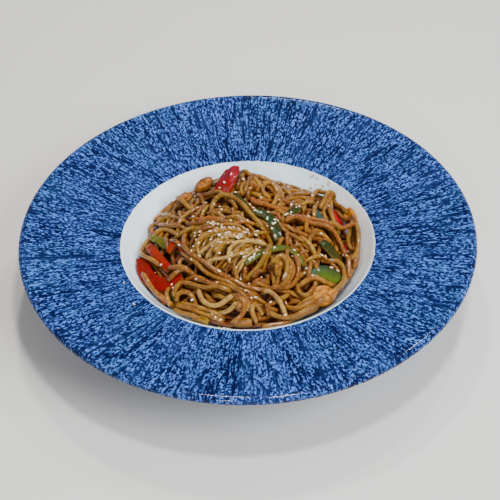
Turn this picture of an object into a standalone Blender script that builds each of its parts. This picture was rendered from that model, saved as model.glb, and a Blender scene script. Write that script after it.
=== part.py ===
"""Yakisoba, fried wheat noodles with peppers, chicken and sesame, heaped in a wide-rimmed bowl.

Metres, +Z up. The origin is on the table under the middle of the bowl, and the side of the bowl
nearest to a diner is at -Y. Sizes and plan positions below are written in millimetres.
"""

import math
import random

import bmesh
import bpy
from mathutils import Vector, noise
from mathutils.bvhtree import BVHTree

MM = 0.001
SEED = 7

# Bowl: a deep well in the middle of a broad rim that rises gently to a rolled lip.
BOWL_R = 140.0
LIP_Z = 45.7
LIP_DROP = 5.4
LIP_WIDTH = 7.5
WELL_R = 78.0
WELL_EDGE_Z = 35.0
WELL_POWER = 1.9
FLOOR_R = 36.0
FLOOR_Z = 7.5
EDGE_ROUND = 2.6
WALL_THICK = 3.4
RIM_THICK = 4.6
RIM_POWER = 1.12
FOOT_IN_R = 38.2
FOOT_OUT_R = 44.4
FOOT_HIGH = 3.0
BOWL_STEPS = 44

# Heap of noodles: its outline on the wall of the well, its crown and its humps.
HEAP_R = 70.0
HEAP_CROWN = 20.0
HEAP_POWER = 2.3
HUMPS = (
    # plan x, plan y, height, spread
    (-2.0, 51.0, 14.0, 14.0),
    (-16.0, 6.0, 3.5, 20.0),
    (34.0, 18.0, 2.5, 18.0),
    (10.0, -34.0, 2.0, 18.0),
)
CORE_R = 67.6
CORE_RIM_Z = 24.7
CORE_SINK = 3.0
CORE_STEPS = 36
CORE_TOP_RINGS = 6
CORE_UNDER_RINGS = 3
CORE_RELIEF = 0.5

GAP = 0.42
NOODLE_D = 3.2
NOODLE_SEGMENT = 5.8
NOODLE_SINK = 0.7
NOODLE_LAYER = 0.45
NOODLE_WAVE = 0.7
NOODLE_REACH = 66.8
SHORTEST_NOODLE = 13.0
TOPPING_MARGIN = 0.8

SEED_LONG = 3.2
SEED_WIDE = 1.9
SEED_COUNT = 26

# Sweeps of noodles that show on top, each an arc of an ellipse seen from above: centre x, centre y,
# radius x, radius y, turn of the ellipse, start and sweep in degrees, strands side by side.
SWEEPS = (
    (-6.0, -5.0, 31.0, 13.0, -52.0, 205.0, -245.0, 1),
    (-2.0, -14.0, 36.0, 35.0, 0.0, 168.0, 164.0, 2),
    (28.0, -22.0, 32.0, 28.0, 0.0, 118.0, -118.0, 1),
    (-27.0, -57.0, 20.0, 16.0, -10.0, 150.0, -130.0, 1),
    (-36.0, -51.0, 5.5, 6.0, 0.0, 210.0, -240.0, 1),
    (8.0, -64.0, 13.0, 13.0, 0.0, 100.0, -95.0, 1),
    (0.0, 0.0, 66.0, 66.0, 0.0, 290.0, 28.0, 1),
    (0.0, 0.0, 65.5, 65.5, 0.0, 219.0, 20.0, 1),
    (-42.0, 16.0, 12.0, 19.0, 0.0, 200.0, -130.0, 2),
    (-54.0, 0.0, 36.0, 30.0, 0.0, 72.0, -62.0, 1),
    (-16.0, 4.0, 13.0, 10.0, -20.0, 30.0, 200.0, 2),
    (-14.0, -10.0, 13.0, 11.0, 10.0, 190.0, 190.0, 1),
    (11.0, 36.0, 12.5, 12.0, 0.0, 165.0, -190.0, 2),
    (17.0, 31.5, 5.5, 7.0, 0.0, 0.0, 330.0, 1),
    (48.0, 36.0, 5.5, 15.5, -10.0, 215.0, -235.0, 1),
    (22.0, 3.0, 19.0, 20.0, 0.0, 145.0, -70.0, 1),
    (10.0, -20.0, 30.0, 24.0, 0.0, 60.0, -55.0, 1),
    (31.0, -46.0, 5.0, 8.0, 0.0, 150.0, 170.0, 1),
)
FILLER_COUNT = 40
FILLER_DRAWS = 60
FILLER_RADIUS = (16.0, 45.0)
FILLER_LENGTH = (35.0, 75.0)

# Toppings that lie on the heap: width, thickness, then the points of the middle line.
# A point is plan x, plan y and how far it is raised above the heap.
RED = (0.56, 0.035, 0.015)
GREEN = (0.10, 0.16, 0.02)
GOLD = (0.58, 0.28, 0.06)
ORANGE = (0.75, 0.30, 0.05)

STRIPS = {
    "red_pepper_crest": (
        RED,
        9.5,
        2.4,
        ((-16, 29, 0.3), (-14, 36, 1.5), (-11, 43, 2.0), (-9, 48, 2.5)),
    ),
    "red_pepper_left": (
        RED,
        8.5,
        2.4,
        ((-65, -8, 0), (-64, -19, 0), (-58.5, -29, 0), (-50, -34.5, 0), (-40, -34, 0)),
    ),
    "red_pepper_left_upper": (RED, 5.5, 2.2, ((-62, 1, 0), (-58, -8, 0.2), (-53, -17, 0.2), (-47, -26, 0))),
    "red_pepper_curl": (
        RED,
        4.0,
        2.0,
        ((-49, -12, 0.5), (-45, -8.5, 2.0), (-41, -11, 2.0), (-39, -16.5, 0.5)),
    ),
    "red_pepper_foot": (RED, 4.0, 2.0, ((-53.5, -41.5, 0), (-49, -47, 0))),
    "red_pepper_right": (RED, 5.0, 2.0, ((55, 30.5, 0), (56.5, 21, 0.3), (60.5, 11.5, 0))),
    "red_pepper_right_low": (RED, 4.5, 2.0, ((62, -1.5, 0.3), (63, -9, 0))),
    "green_pepper_crest": (GREEN, 5.5, 2.2, ((-8.5, 28.5, 0), (-5.5, 22.5, 0.3), (-0.5, 15.5, 0))),
    "green_pepper_middle": (
        GREEN,
        5.0,
        2.2,
        ((4, 12, 0), (11.5, 8.5, 0.3), (16.5, -1, 0.3), (18.5, -13, 0)),
    ),
    "green_pepper_rear": (GREEN, 4.5, 2.0, ((25, 7.5, 0), (32, 18.5, 0))),
    "green_pepper_arch": (
        GREEN,
        3.2,
        2.2,
        (
            (-2, -32.5, 0),
            (7, -26.5, 1.2),
            (14.5, -22.5, 1.6),
            (22.5, -20.5, 1.6),
            (29.5, -24, 1.2),
            (33.5, -30, 0.4),
        ),
    ),
    "green_pepper_front": (GREEN, 10.5, 2.4, ((39, -37, 0), (43, -33, 1.0), (48.5, -32, 1.0), (56, -31, 0))),
    "green_pepper_side": (GREEN, 6.5, 2.2, ((45.5, -7.5, 0), (50.5, -12.5, 0.4), (55, -19, 0))),
    "green_pepper_left": (GREEN, 4.5, 2.0, ((-60.5, 8.5, 0.3), (-54.5, 0.5, 0.3), (-50, -7, 0))),
    "green_pepper_chip": (GREEN, 4.0, 2.0, ((-46, -40.5, 0), (-43, -45.5, 0))),
    "green_pepper_right": (
        GREEN,
        4.0,
        2.0,
        ((43.5, 22.5, 0), (46.5, 13, 0.4), (51.5, 6, 0.4), (57, 3.5, 0)),
    ),
    "carrot_shred": (ORANGE, 2.6, 1.6, ((3, 23.5, 0), (11.5, 19.5, 0))),
    "carrot_strip_front": (ORANGE, 4.0, 2.2, ((-33, -59.5, 0), (-24, -63, 0))),
    "carrot_strip_mid": (ORANGE, 4.0, 2.2, ((-9, -65.5, 0), (1.5, -65.8, 0))),
}

# Chunks: colour, plan x, plan y, length, width, height, turn in degrees.
CHUNKS = {
    "chicken_right_front": (GOLD, 45.0, -48.5, 15.0, 11.0, 8.0, 25.0),
    "chicken_middle": (GOLD, 18.5, -32.5, 12.0, 7.0, 6.5, 5.0),
    "chicken_back": (GOLD, -28.0, 48.0, 13.5, 9.0, 8.0, 20.0),
    "chicken_left_back": (GOLD, -40.5, 38.5, 11.5, 9.5, 7.5, 40.0),
    "chicken_right_back": (GOLD, 65.8, 21.0, 14.0, 6.5, 7.0, -70.0),
    "chicken_front": (GOLD, -3.5, -57.5, 9.0, 6.5, 6.0, 10.0),
}


def clear_scene():
    for obj in list(bpy.data.objects):
        bpy.data.objects.remove(obj, do_unlink=True)


def new_collection(name):
    made = bpy.data.collections.new(name)
    bpy.context.scene.collection.children.link(made)
    return made


def principled(name, colour, roughness):
    made = bpy.data.materials.new(name)
    made.use_nodes = True
    shader = made.node_tree.nodes["Principled BSDF"]
    shader.inputs["Base Color"].default_value = (*colour, 1.0)
    shader.inputs["Roughness"].default_value = roughness
    shader.inputs["Metallic"].default_value = 0.0
    return made


def add_object(name, mesh, collection, material=None):
    obj = bpy.data.objects.new(name, mesh)
    if material:
        mesh.materials.append(material)
    collection.objects.link(obj)
    return obj


def mesh_from(bm, name):
    mesh = bpy.data.meshes.new(name)
    bm.to_mesh(mesh)
    bm.free()
    return mesh


def tree_of(obj):
    """A search tree over an object's evaluated surface, in metres."""
    return BVHTree.FromObject(obj, bpy.context.evaluated_depsgraph_get())


# Bowl

def well_z(radius):
    """Height of the inside of the well at this radius."""
    out = max(0.0, (radius - FLOOR_R) / (WELL_R - FLOOR_R))
    return FLOOR_Z + (WELL_EDGE_Z - FLOOR_Z) * out**WELL_POWER


def rim_z(radius):
    """Height of the rim's upper face, which hollows a little on its way out to the lip."""
    inner = WELL_R + EDGE_ROUND
    outer = BOWL_R - LIP_WIDTH
    inner_z = WELL_EDGE_Z + 0.45 * EDGE_ROUND
    along = (radius - inner) / (outer - inner)
    return inner_z + (LIP_Z - 1.1 - inner_z) * along**RIM_POWER


def lip_points():
    """The rolled edge, from the rim's upper face over the top and round to its underside."""
    wide = 0.55 * LIP_DROP
    high = 0.5 * LIP_DROP
    points = []
    for degrees in (120, 90, 48, 0, -45, -90):
        angle = math.radians(degrees)
        points.append((BOWL_R - wide + wide * math.cos(angle), LIP_Z - high + high * math.sin(angle)))
    return points


def bowl_profile():
    """The bowl's section, from the middle of its floor over the lip and back under to its foot."""
    inside = [(0.0, FLOOR_Z), (FLOOR_R, FLOOR_Z)]
    inside += [(radius, well_z(radius)) for radius in (46.0, 54.0, 61.0, 67.0, 72.0, WELL_R - 1.4)]
    inside += [(WELL_R, WELL_EDGE_Z + 0.15)]
    inside += [(radius, rim_z(radius)) for radius in (WELL_R + EDGE_ROUND, 98.0, 116.0, BOWL_R - LIP_WIDTH)]
    under = [(radius, rim_z(radius) - RIM_THICK) for radius in (BOWL_R - LIP_WIDTH - 3.0, 112.0, 90.0)]
    under += [(WELL_R + 5.5, WELL_EDGE_Z - 3.9)]
    under += [(radius + WALL_THICK, well_z(radius) - WALL_THICK + 0.2) for radius in (74.5, 68.0, 60.0, 51.0)]
    foot = [
        (FOOT_OUT_R + 0.8, FOOT_HIGH),
        (FOOT_OUT_R, 0.7),
        (FOOT_OUT_R - 0.7, 0.0),
        (FOOT_IN_R + 0.7, 0.0),
        (FOOT_IN_R, 0.7),
        (FOOT_IN_R - 0.8, FOOT_HIGH),
        (0.0, FOOT_HIGH),
    ]
    return inside + lip_points() + under + foot


def make_bowl(collection):
    bm = bmesh.new()
    verts = [bm.verts.new((radius * MM, 0.0, height * MM)) for radius, height in bowl_profile()]
    for first, second in zip(verts, verts[1:]):
        bm.edges.new((first, second))
    glaze = principled("blue_glaze", (0.05, 0.16, 0.45), 0.25)
    bowl = add_object("bowl", mesh_from(bm, "bowl"), collection, glaze)
    screw = bowl.modifiers.new("turn", "SCREW")
    screw.steps = BOWL_STEPS
    screw.render_steps = BOWL_STEPS
    screw.use_merge_vertices = True
    screw.merge_threshold = 0.00001
    screw.use_smooth_shade = True
    return bowl


# Heap

def heap_z(x, y):
    """Height of the heap over a point of the plan, up to the tops of its noodles."""
    out = min(1.0, math.hypot(x, y) / HEAP_R)
    height = well_z(HEAP_R) + HEAP_CROWN * (1.0 - out**HEAP_POWER)
    for hump_x, hump_y, rise, spread in HUMPS:
        apart = (x - hump_x) ** 2 + (y - hump_y) ** 2
        height += rise * math.exp(-apart / (2.0 * spread**2)) * (1.0 - out**6)
    return height


def core_point(ring, turn):
    """A point of the core: rings run from the crown out to the edge, then in under it."""
    angle = math.tau * turn / CORE_STEPS
    if ring <= CORE_TOP_RINGS:
        radius = CORE_R * ring / CORE_TOP_RINGS
    else:
        radius = CORE_R * (CORE_TOP_RINGS + CORE_UNDER_RINGS - ring) / CORE_UNDER_RINGS
    x = radius * math.cos(angle)
    y = radius * math.sin(angle)
    if ring > CORE_TOP_RINGS:
        height = well_z(radius) + GAP + 0.25
    elif ring == CORE_TOP_RINGS:
        height = CORE_RIM_Z
    else:
        relief = CORE_RELIEF * noise.noise(Vector((x, y, 0.0)) * 0.12)
        height = heap_z(x, y) - CORE_SINK + relief
    return Vector((x, y, height)) * MM


def make_core(collection):
    """The middle of the heap, a sphere whose rings are laid on the crown and on the well."""
    rings = CORE_TOP_RINGS + CORE_UNDER_RINGS
    bm = bmesh.new()
    bmesh.ops.create_uvsphere(bm, u_segments=CORE_STEPS, v_segments=rings, radius=1.0)
    for vert in bm.verts:
        ring = round(rings * math.acos(max(-1.0, min(1.0, vert.co.z))) / math.pi)
        turn = round(CORE_STEPS * math.atan2(vert.co.y, vert.co.x) / math.tau)
        vert.co = core_point(ring, turn)
    bmesh.ops.triangulate(bm, faces=bm.faces[:])
    sauce = principled("noodles", (0.32, 0.16, 0.045), 0.35)
    return add_object("noodles", mesh_from(bm, "noodles"), collection, sauce)


# Ground that food lies on

class Ground:
    """The top of whatever lies under a point of the plan: the core, or the wall of the well."""

    def __init__(self, core, bowl):
        self.trees = [tree_of(core), tree_of(bowl)]
        self.corners = [vert.co.copy() for vert in core.data.vertices]

    def height(self, x, y):
        start = Vector((x, y, 200.0)) * MM
        hits = [tree.ray_cast(start, Vector((0.0, 0.0, -1.0)))[0] for tree in self.trees]
        return max(hit.z / MM for hit in hits if hit)

    def normal(self, x, y, step=1.5):
        along_x = (self.height(x + step, y) - self.height(x - step, y)) / (2.0 * step)
        along_y = (self.height(x, y + step) - self.height(x, y - step)) / (2.0 * step)
        return Vector((-along_x, -along_y, 1.0)).normalized()

    def above(self, x, y, clear):
        """A point that stands this far off the ground, in millimetres."""
        normal = self.normal(x, y)
        return Vector((x, y, self.height(x, y) + clear / normal.z))


def gap_under(obj, ground):
    """The smallest upright gap between a topping and what lies under it, in millimetres."""
    graph = bpy.context.evaluated_depsgraph_get()
    tree = BVHTree.FromObject(obj, graph)
    mesh = obj.evaluated_get(graph).data
    spots = [vert.co for vert in mesh.vertices]
    spots += [0.5 * (mesh.vertices[first].co + mesh.vertices[second].co) for first, second in mesh.edge_keys]
    gaps = [spot.z / MM - ground.height(spot.x / MM, spot.y / MM) for spot in spots]
    for corner in ground.corners:
        hit = tree.ray_cast(corner - Vector((0.0, 0.0, 5.0)) * MM, Vector((0.0, 0.0, 1.0)))[0]
        if hit:
            gaps.append((hit.z - corner.z) / MM)
    return min(gaps)


def lift(obj, distance):
    for vert in obj.data.vertices:
        vert.co.z += distance * MM
    bpy.context.view_layer.update()


def settle(obj, ground):
    """Lifts or lowers a topping until it is just clear of what it lies on."""
    bpy.context.view_layer.update()
    lift(obj, GAP - gap_under(obj, ground))
    while any(tree_of(obj).overlap(tree) for tree in ground.trees):
        lift(obj, 0.5 * GAP)


# Toppings

def catmull(points, share):
    """A point on the smooth curve through these points; share runs from 0 to 1."""
    place = share * (len(points) - 1)
    index = min(int(place), len(points) - 2)
    t = place - index
    before = Vector(points[max(index - 1, 0)])
    start = Vector(points[index])
    end = Vector(points[index + 1])
    after = Vector(points[min(index + 2, len(points) - 1)])
    bend = (2.0 * before - 5.0 * start + 4.0 * end - after) * t**2
    turn = (3.0 * start - before - 3.0 * end + after) * t**3
    return 0.5 * (2.0 * start + (end - before) * t + bend + turn)


def path_length(points):
    return sum((Vector(b[:2]) - Vector(a[:2])).length for a, b in zip(points, points[1:]))


def make_strip(name, colour, width, thick, points, ground, collection):
    """A strip of pepper or carrot: a narrow sheet laid along its line and given its thickness."""
    cells = max(3, round(path_length(points) / 4.0))
    bm = bmesh.new()
    bmesh.ops.create_grid(bm, x_segments=cells, y_segments=2, size=0.5)
    for vert in bm.verts:
        share = min(max(vert.co.x + 0.5, 0.0), 1.0)
        across = 2.0 * vert.co.y
        middle = catmull(points, share)
        ahead = catmull(points, min(1.0, share + 0.02)) - catmull(points, max(0.0, share - 0.02))
        side = Vector((-ahead.y, ahead.x, 0.0)).normalized()
        taper = 1.0 - 0.35 * abs(2.0 * share - 1.0) ** 3
        spot = middle + side * across * 0.5 * width * taper
        crown = 0.10 * width * (1.0 - across**2)
        vert.co = ground.above(spot.x, spot.y, 0.5 * thick + GAP + 0.3 + middle.z + crown) * MM
    bmesh.ops.triangulate(bm, faces=bm.faces[:])
    strip = add_object(name, mesh_from(bm, name), collection, principled(name, colour, 0.25))
    solid = strip.modifiers.new("thickness", "SOLIDIFY")
    solid.thickness = thick * MM
    solid.offset = 0.0
    settle(strip, ground)


def make_chunk(name, colour, x, y, size, turn, ground, collection):
    """A torn chunk of chicken: a rough faceted lump, flattened where it lies on the heap."""
    draw = random.Random(f"{SEED} {name}")
    bm = bmesh.new()
    bmesh.ops.create_icosphere(bm, subdivisions=2, radius=0.5)
    shift = Vector([draw.uniform(-50.0, 50.0) for _ in range(3)])
    cos = math.cos(math.radians(turn))
    sin = math.sin(math.radians(turn))
    for vert in bm.verts:
        lump = 1.0 + 0.22 * noise.noise(vert.co * 3.0 + shift)
        along = vert.co.x * size[0] * lump
        across = vert.co.y * size[1] * lump
        spot_x = x + along * cos - across * sin
        spot_y = y + along * sin + across * cos
        share = vert.co.z + 0.5
        vert.co = ground.above(spot_x, spot_y, GAP + 0.3 + share * size[2] * lump) * MM
    chunk = add_object(name, mesh_from(bm, name), collection, principled(name, colour, 0.4))
    settle(chunk, ground)


# Noodles and sesame

def topping_discs():
    """Plan discs that noodles keep out of: x, y and radius."""
    discs = []
    for _, width, _, points in STRIPS.values():
        steps = max(4, round(path_length(points) / 2.0))
        for step in range(steps + 1):
            spot = catmull(points, step / steps)
            discs.append((spot.x, spot.y, 0.5 * width))
    for _, x, y, length, width, _, turn in CHUNKS.values():
        angle = math.radians(turn)
        for share in (-1.0, -0.5, 0.0, 0.5, 1.0):
            along = 0.5 * share * (length - width)
            discs.append((x + along * math.cos(angle), y + along * math.sin(angle), 0.58 * width))
    return discs


def is_free(x, y, discs):
    """Whether a noodle's middle can lie here: inside the heap's edge and clear of the toppings."""
    if math.hypot(x, y) > NOODLE_REACH:
        return False
    keep = 0.5 * NOODLE_D + TOPPING_MARGIN
    return all(math.hypot(x - disc_x, y - disc_y) > radius + keep for disc_x, disc_y, radius in discs)


def arc_points(centre_x, centre_y, radius_x, radius_y, turn, start, sweep, draw):
    """Plan points along a noodle, with the slight wave that a boiled noodle has."""
    length = abs(math.radians(sweep)) * 0.5 * (radius_x + radius_y)
    steps = max(3, round(length / NOODLE_SEGMENT))
    phase = draw.uniform(0.0, math.tau)
    turned = math.radians(turn)
    points = []
    for step in range(steps + 1):
        angle = math.radians(start + sweep * step / steps)
        wave = NOODLE_WAVE * math.sin(phase + 0.24 * length * step / steps)
        along = (radius_x + wave) * math.cos(angle)
        across = (radius_y + wave) * math.sin(angle)
        x = centre_x + along * math.cos(turned) - across * math.sin(turned)
        y = centre_y + along * math.sin(turned) + across * math.cos(turned)
        points.append((x, y))
    return points


def free_runs(points, discs):
    """Splits a noodle into the stretches that are clear of every topping."""
    runs = [[]]
    for point in points:
        if is_free(*point, discs):
            runs[-1].append(point)
        elif runs[-1]:
            runs.append([])
    return [run for run in runs if path_length(run) >= SHORTEST_NOODLE]


def bareness(run, noodles):
    """How much bare core a noodle would cover: its clear points, less those on top of other noodles."""
    score = 0
    for x, y in run:
        near = min(math.hypot(x - other_x, y - other_y) for other, _ in noodles for other_x, other_y in other)
        score += 1 if near > 1.6 * NOODLE_D else 0
        score -= 1 if near < 0.8 * NOODLE_D else 0
    return score


def filler_run(draw, discs, noodles):
    """The best stretch of some arcs drawn over the heap, so that bare places fill first."""
    best = []
    best_score = 0
    for _ in range(FILLER_DRAWS):
        out = NOODLE_REACH * math.sqrt(draw.random())
        around = draw.uniform(0.0, math.tau)
        radius = draw.uniform(*FILLER_RADIUS)
        heading = draw.uniform(0.0, 360.0)
        sweep = math.degrees(draw.uniform(*FILLER_LENGTH) / radius)
        centre_x = out * math.cos(around) - radius * math.cos(math.radians(heading + 0.5 * sweep))
        centre_y = out * math.sin(around) - radius * math.sin(math.radians(heading + 0.5 * sweep))
        points = arc_points(centre_x, centre_y, radius, radius, 0.0, heading, sweep, draw)
        for run in free_runs(points, discs):
            score = bareness(run, noodles)
            if score > best_score:
                best = run
                best_score = score
    return best


def plan_noodles(discs):
    """Every noodle's plan points and layer: the sweeps that show, then fillers in what is left bare."""
    draw = random.Random(SEED)
    noodles = []
    for centre_x, centre_y, radius_x, radius_y, turn, start, sweep, strands in SWEEPS:
        for strand in range(strands):
            wide = strand * NOODLE_D * 1.15
            arc = (centre_x, centre_y, radius_x + wide, radius_y + wide, turn, start, sweep)
            noodles += [(run, draw.choice((0, 1, 2))) for run in free_runs(arc_points(*arc, draw), discs)]
    for _ in range(FILLER_COUNT):
        run = filler_run(draw, discs, noodles)
        if run:
            noodles.append((run, draw.choice((0, 1, 2))))
    return noodles


def make_noodle(index, run, layer, ground, collection):
    """One noodle: a six-sided tube that lies a little way into the core, or over other noodles."""
    curve = bpy.data.curves.new(f"noodle_{index}", "CURVE")
    curve.dimensions = "3D"
    curve.bevel_depth = 0.5 * NOODLE_D * MM
    curve.bevel_resolution = 1
    curve.use_fill_caps = True
    spline = curve.splines.new("POLY")
    spline.points.add(len(run) - 1)
    for point, (x, y) in zip(spline.points, run):
        height = ground.height(x, y) + 0.5 * NOODLE_D - NOODLE_SINK + layer * NOODLE_LAYER
        wall = well_z(math.hypot(x, y)) + (0.5 * NOODLE_D + GAP) * 1.5
        point.co = (x * MM, y * MM, max(height, wall) * MM, 1.0)
    tube = add_object(f"tube_{index}", curve, collection)
    bpy.context.view_layer.update()
    evaluated = tube.evaluated_get(bpy.context.evaluated_depsgraph_get())
    mesh = bpy.data.meshes.new_from_object(evaluated)
    bpy.data.objects.remove(tube)
    bm = bmesh.new()
    bm.from_mesh(mesh)
    bmesh.ops.remove_doubles(bm, verts=bm.verts[:], dist=0.00001)
    bmesh.ops.recalc_face_normals(bm, faces=bm.faces[:])
    bm.to_mesh(mesh)
    bm.free()
    return add_object(f"noodle_{index}", mesh, collection)


def make_seeds(noodles, ground, collection):
    """Sesame seeds scattered over the noodles near the crown, each sunk a little into its noodle."""
    draw = random.Random(SEED + 1)
    spots = [(x, y, layer) for run, layer in noodles for x, y in run[1:-1] if math.hypot(x + 4, y + 4) < 46.0]
    for index, (x, y, layer) in enumerate(draw.sample(spots, min(SEED_COUNT, len(spots)))):
        bm = bmesh.new()
        bmesh.ops.create_icosphere(bm, subdivisions=1, radius=0.5)
        turn = draw.uniform(0.0, math.tau)
        top = ground.height(x, y) + NOODLE_D - NOODLE_SINK + layer * NOODLE_LAYER
        for vert in bm.verts:
            along = vert.co.x * SEED_LONG * (1.0 - 0.25 * (vert.co.x > 0.2))
            across = vert.co.y * SEED_WIDE
            vert.co = Vector(
                (
                    x + along * math.cos(turn) - across * math.sin(turn),
                    y + along * math.sin(turn) + across * math.cos(turn),
                    top + vert.co.z * 1.3,
                )
            ) * MM
        add_object(f"seed_{index}", mesh_from(bm, f"seed_{index}"), collection)


# Joining

def islands(bm):
    """The separate closed surfaces of a mesh, as lists of faces."""
    left = set(bm.faces)
    found = []
    while left:
        stack = [left.pop()]
        island = []
        while stack:
            face = stack.pop()
            island.append(face)
            for edge in face.edges:
                for other in edge.link_faces:
                    if other in left:
                        left.remove(other)
                        stack.append(other)
        found.append(island)
    return found


def keep_largest(mesh):
    """Drops loose scraps and the inner skins of sealed hollows, and says how many there were."""
    bm = bmesh.new()
    bm.from_mesh(mesh)
    bmesh.ops.triangulate(bm, faces=bm.faces[:])
    groups = sorted(islands(bm), key=len)
    for island in groups[:-1]:
        bmesh.ops.delete(bm, geom=island, context="FACES")
    loose = [vert for vert in bm.verts if not vert.link_faces]
    bmesh.ops.delete(bm, geom=loose, context="VERTS")
    bm.to_mesh(mesh)
    bm.free()
    return [len(island) for island in groups[:-1]]


def fuse(core, collection):
    """Joins every piece of the collection to the core with one Boolean, then removes the pieces."""
    union = core.modifiers.new("fuse", "BOOLEAN")
    union.operation = "UNION"
    union.operand_type = "COLLECTION"
    union.collection = collection
    union.solver = "EXACT"
    evaluated = core.evaluated_get(bpy.context.evaluated_depsgraph_get())
    mesh = bpy.data.meshes.new_from_object(evaluated)
    core.modifiers.clear()
    print("loose scraps and inner skins dropped:", keep_largest(mesh))
    core.data = mesh
    for piece in list(collection.objects):
        bpy.data.objects.remove(piece, do_unlink=True)


def main():
    clear_scene()
    parts = new_collection("yakisoba")
    fused = new_collection("fused_pieces")
    bowl = make_bowl(parts)
    core = make_core(parts)
    bpy.context.view_layer.update()
    ground = Ground(core, bowl)
    for name, (colour, width, thick, points) in STRIPS.items():
        make_strip(name, colour, width, thick, points, ground, parts)
    for name, (colour, x, y, length, width, height, turn) in CHUNKS.items():
        make_chunk(name, colour, x, y, (length, width, height), turn, ground, parts)
    noodles = plan_noodles(topping_discs())
    for index, (run, layer) in enumerate(noodles):
        make_noodle(index, run, layer, ground, fused)
    make_seeds(noodles, ground, fused)
    fuse(core, fused)
    print("noodles fused:", len(noodles), "triangles in the heap:", len(core.data.polygons))


main()
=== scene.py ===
# %% [markdown]
# # A bowl of yakisoba
# Fried wheat noodles with strips of pepper, chicken and sesame, heaped in the deep well of a
# wide-rimmed bowl with a streaked blue glaze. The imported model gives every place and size. This
# lesson makes the real surfaces around it: a turned bowl, hundreds of loose noodles that lie on
# one another, cut vegetables, torn chicken and scattered seeds.

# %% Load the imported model
import math
import random

import bmesh
import bpy
from mathutils import Matrix, Vector, noise
from mathutils.bvhtree import BVHTree


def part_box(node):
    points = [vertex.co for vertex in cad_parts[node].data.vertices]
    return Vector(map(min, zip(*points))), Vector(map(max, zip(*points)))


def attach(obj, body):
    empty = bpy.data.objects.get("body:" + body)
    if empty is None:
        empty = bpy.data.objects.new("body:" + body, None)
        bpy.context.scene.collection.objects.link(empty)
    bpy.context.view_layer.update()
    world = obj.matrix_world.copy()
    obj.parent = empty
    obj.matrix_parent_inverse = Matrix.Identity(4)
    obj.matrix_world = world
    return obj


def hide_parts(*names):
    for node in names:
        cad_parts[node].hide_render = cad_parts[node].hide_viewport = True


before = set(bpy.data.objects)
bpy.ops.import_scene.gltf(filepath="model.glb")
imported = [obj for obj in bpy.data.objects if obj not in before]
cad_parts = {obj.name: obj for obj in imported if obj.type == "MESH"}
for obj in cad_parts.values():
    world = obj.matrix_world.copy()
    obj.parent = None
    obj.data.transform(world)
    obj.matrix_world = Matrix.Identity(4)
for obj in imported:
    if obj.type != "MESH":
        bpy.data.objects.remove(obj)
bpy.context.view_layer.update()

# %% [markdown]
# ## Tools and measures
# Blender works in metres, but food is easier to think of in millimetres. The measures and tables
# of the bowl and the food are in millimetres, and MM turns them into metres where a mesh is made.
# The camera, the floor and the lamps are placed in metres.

MM = 0.001

# %% [markdown]
# ## The camera
# The picture looks down at the bowl from about 43 degrees, through a fairly long lens, and it is
# turned a little over one degree. A camera could be aimed with a constraint. Building its matrix
# from three directions keeps the small roll exact and leaves nothing live in the file.

# %% Camera
VIEW_DISTANCE = 0.7
VIEW_HEIGHT = math.radians(42.54)
VIEW_ROLL = math.radians(-1.37)
VIEW_TARGET = Vector((0.00133, -0.02235, 0.0455))
LENS_LENGTH = 83.91
SENSOR_WIDTH = 36.0


def make_camera():
    back = Vector((0.0, -math.cos(VIEW_HEIGHT), math.sin(VIEW_HEIGHT)))
    level = Vector((0.0, 0.0, 1.0)).cross(back).normalized()
    upright = back.cross(level)
    right = math.cos(VIEW_ROLL) * level + math.sin(VIEW_ROLL) * upright
    up = math.cos(VIEW_ROLL) * upright - math.sin(VIEW_ROLL) * level
    place = Matrix((right, up, back)).transposed().to_4x4()
    place.translation = VIEW_TARGET + VIEW_DISTANCE * back
    data = bpy.data.cameras.new("camera")
    data.lens = LENS_LENGTH
    data.sensor_width = SENSOR_WIDTH
    camera = bpy.data.objects.new("camera", data)
    camera.matrix_world = place
    bpy.context.scene.collection.objects.link(camera)
    bpy.context.scene.camera = camera
    return camera


camera = make_camera()
print("camera at", [round(c, 3) for c in camera.matrix_world.translation])

# %% [markdown]
# ## Helpers for materials
# A procedural material is a graph of nodes. Writing each node and link by hand takes many lines,
# so small helpers add a node with its inputs, mix two colours, stretch a value and read a noise.
# Colours are written as the eye reads them on a screen, from 0 to 255, and turned into linear
# light.

# %% Node helpers
def linear(red, green, blue):
    """A screen colour from 0 to 255 as linear light, with its alpha."""
    shares = [channel / 255.0 for channel in (red, green, blue)]
    return tuple(c / 12.92 if c <= 0.04045 else ((c + 0.055) / 1.055) ** 2.4 for c in shares) + (1.0,)


def grey(value):
    """A plain value as a colour, for the two colour inputs of `mix`."""
    return (value, value, value, 1.0)


def plug(tree, socket, value):
    """Links a socket to another node's output, or gives it a plain value."""
    if isinstance(value, bpy.types.NodeSocket):
        tree.links.new(value, socket)
    elif value is not None:
        socket.default_value = value


def fill(tree, node, inputs):
    """Gives a node its inputs, by socket name or number."""
    for name, value in inputs.items():
        plug(tree, node.inputs[name], value)
    return node


def add(tree, kind, inputs=None, **settings):
    """Adds a shader node, with settings by name and inputs by socket name or number."""
    made = tree.nodes.new("ShaderNode" + kind)
    for name, value in settings.items():
        setattr(made, name, value)
    return fill(tree, made, inputs or {})


def math_node(tree, operation, first, second=None):
    return add(tree, "Math", {0: first, 1: second}, operation=operation).outputs[0]


def times(tree, first, second):
    return math_node(tree, "MULTIPLY", first, second)


def larger(tree, first, second):
    return math_node(tree, "MAXIMUM", first, second)


def vector_node(tree, operation, first, second=None):
    return add(tree, "VectorMath", {0: first, 1: second}, operation=operation).outputs["Vector"]


def distance(tree, first, second):
    """How far one place is from another."""
    return add(tree, "VectorMath", {0: first, 1: second}, operation="DISTANCE").outputs["Value"]


def mix(tree, share, first, second):
    """Mixes two colours; the numbers pick the colour sockets of the Mix node."""
    return add(tree, "Mix", {0: share, 6: first, 7: second}, data_type="RGBA").outputs[2]


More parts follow.
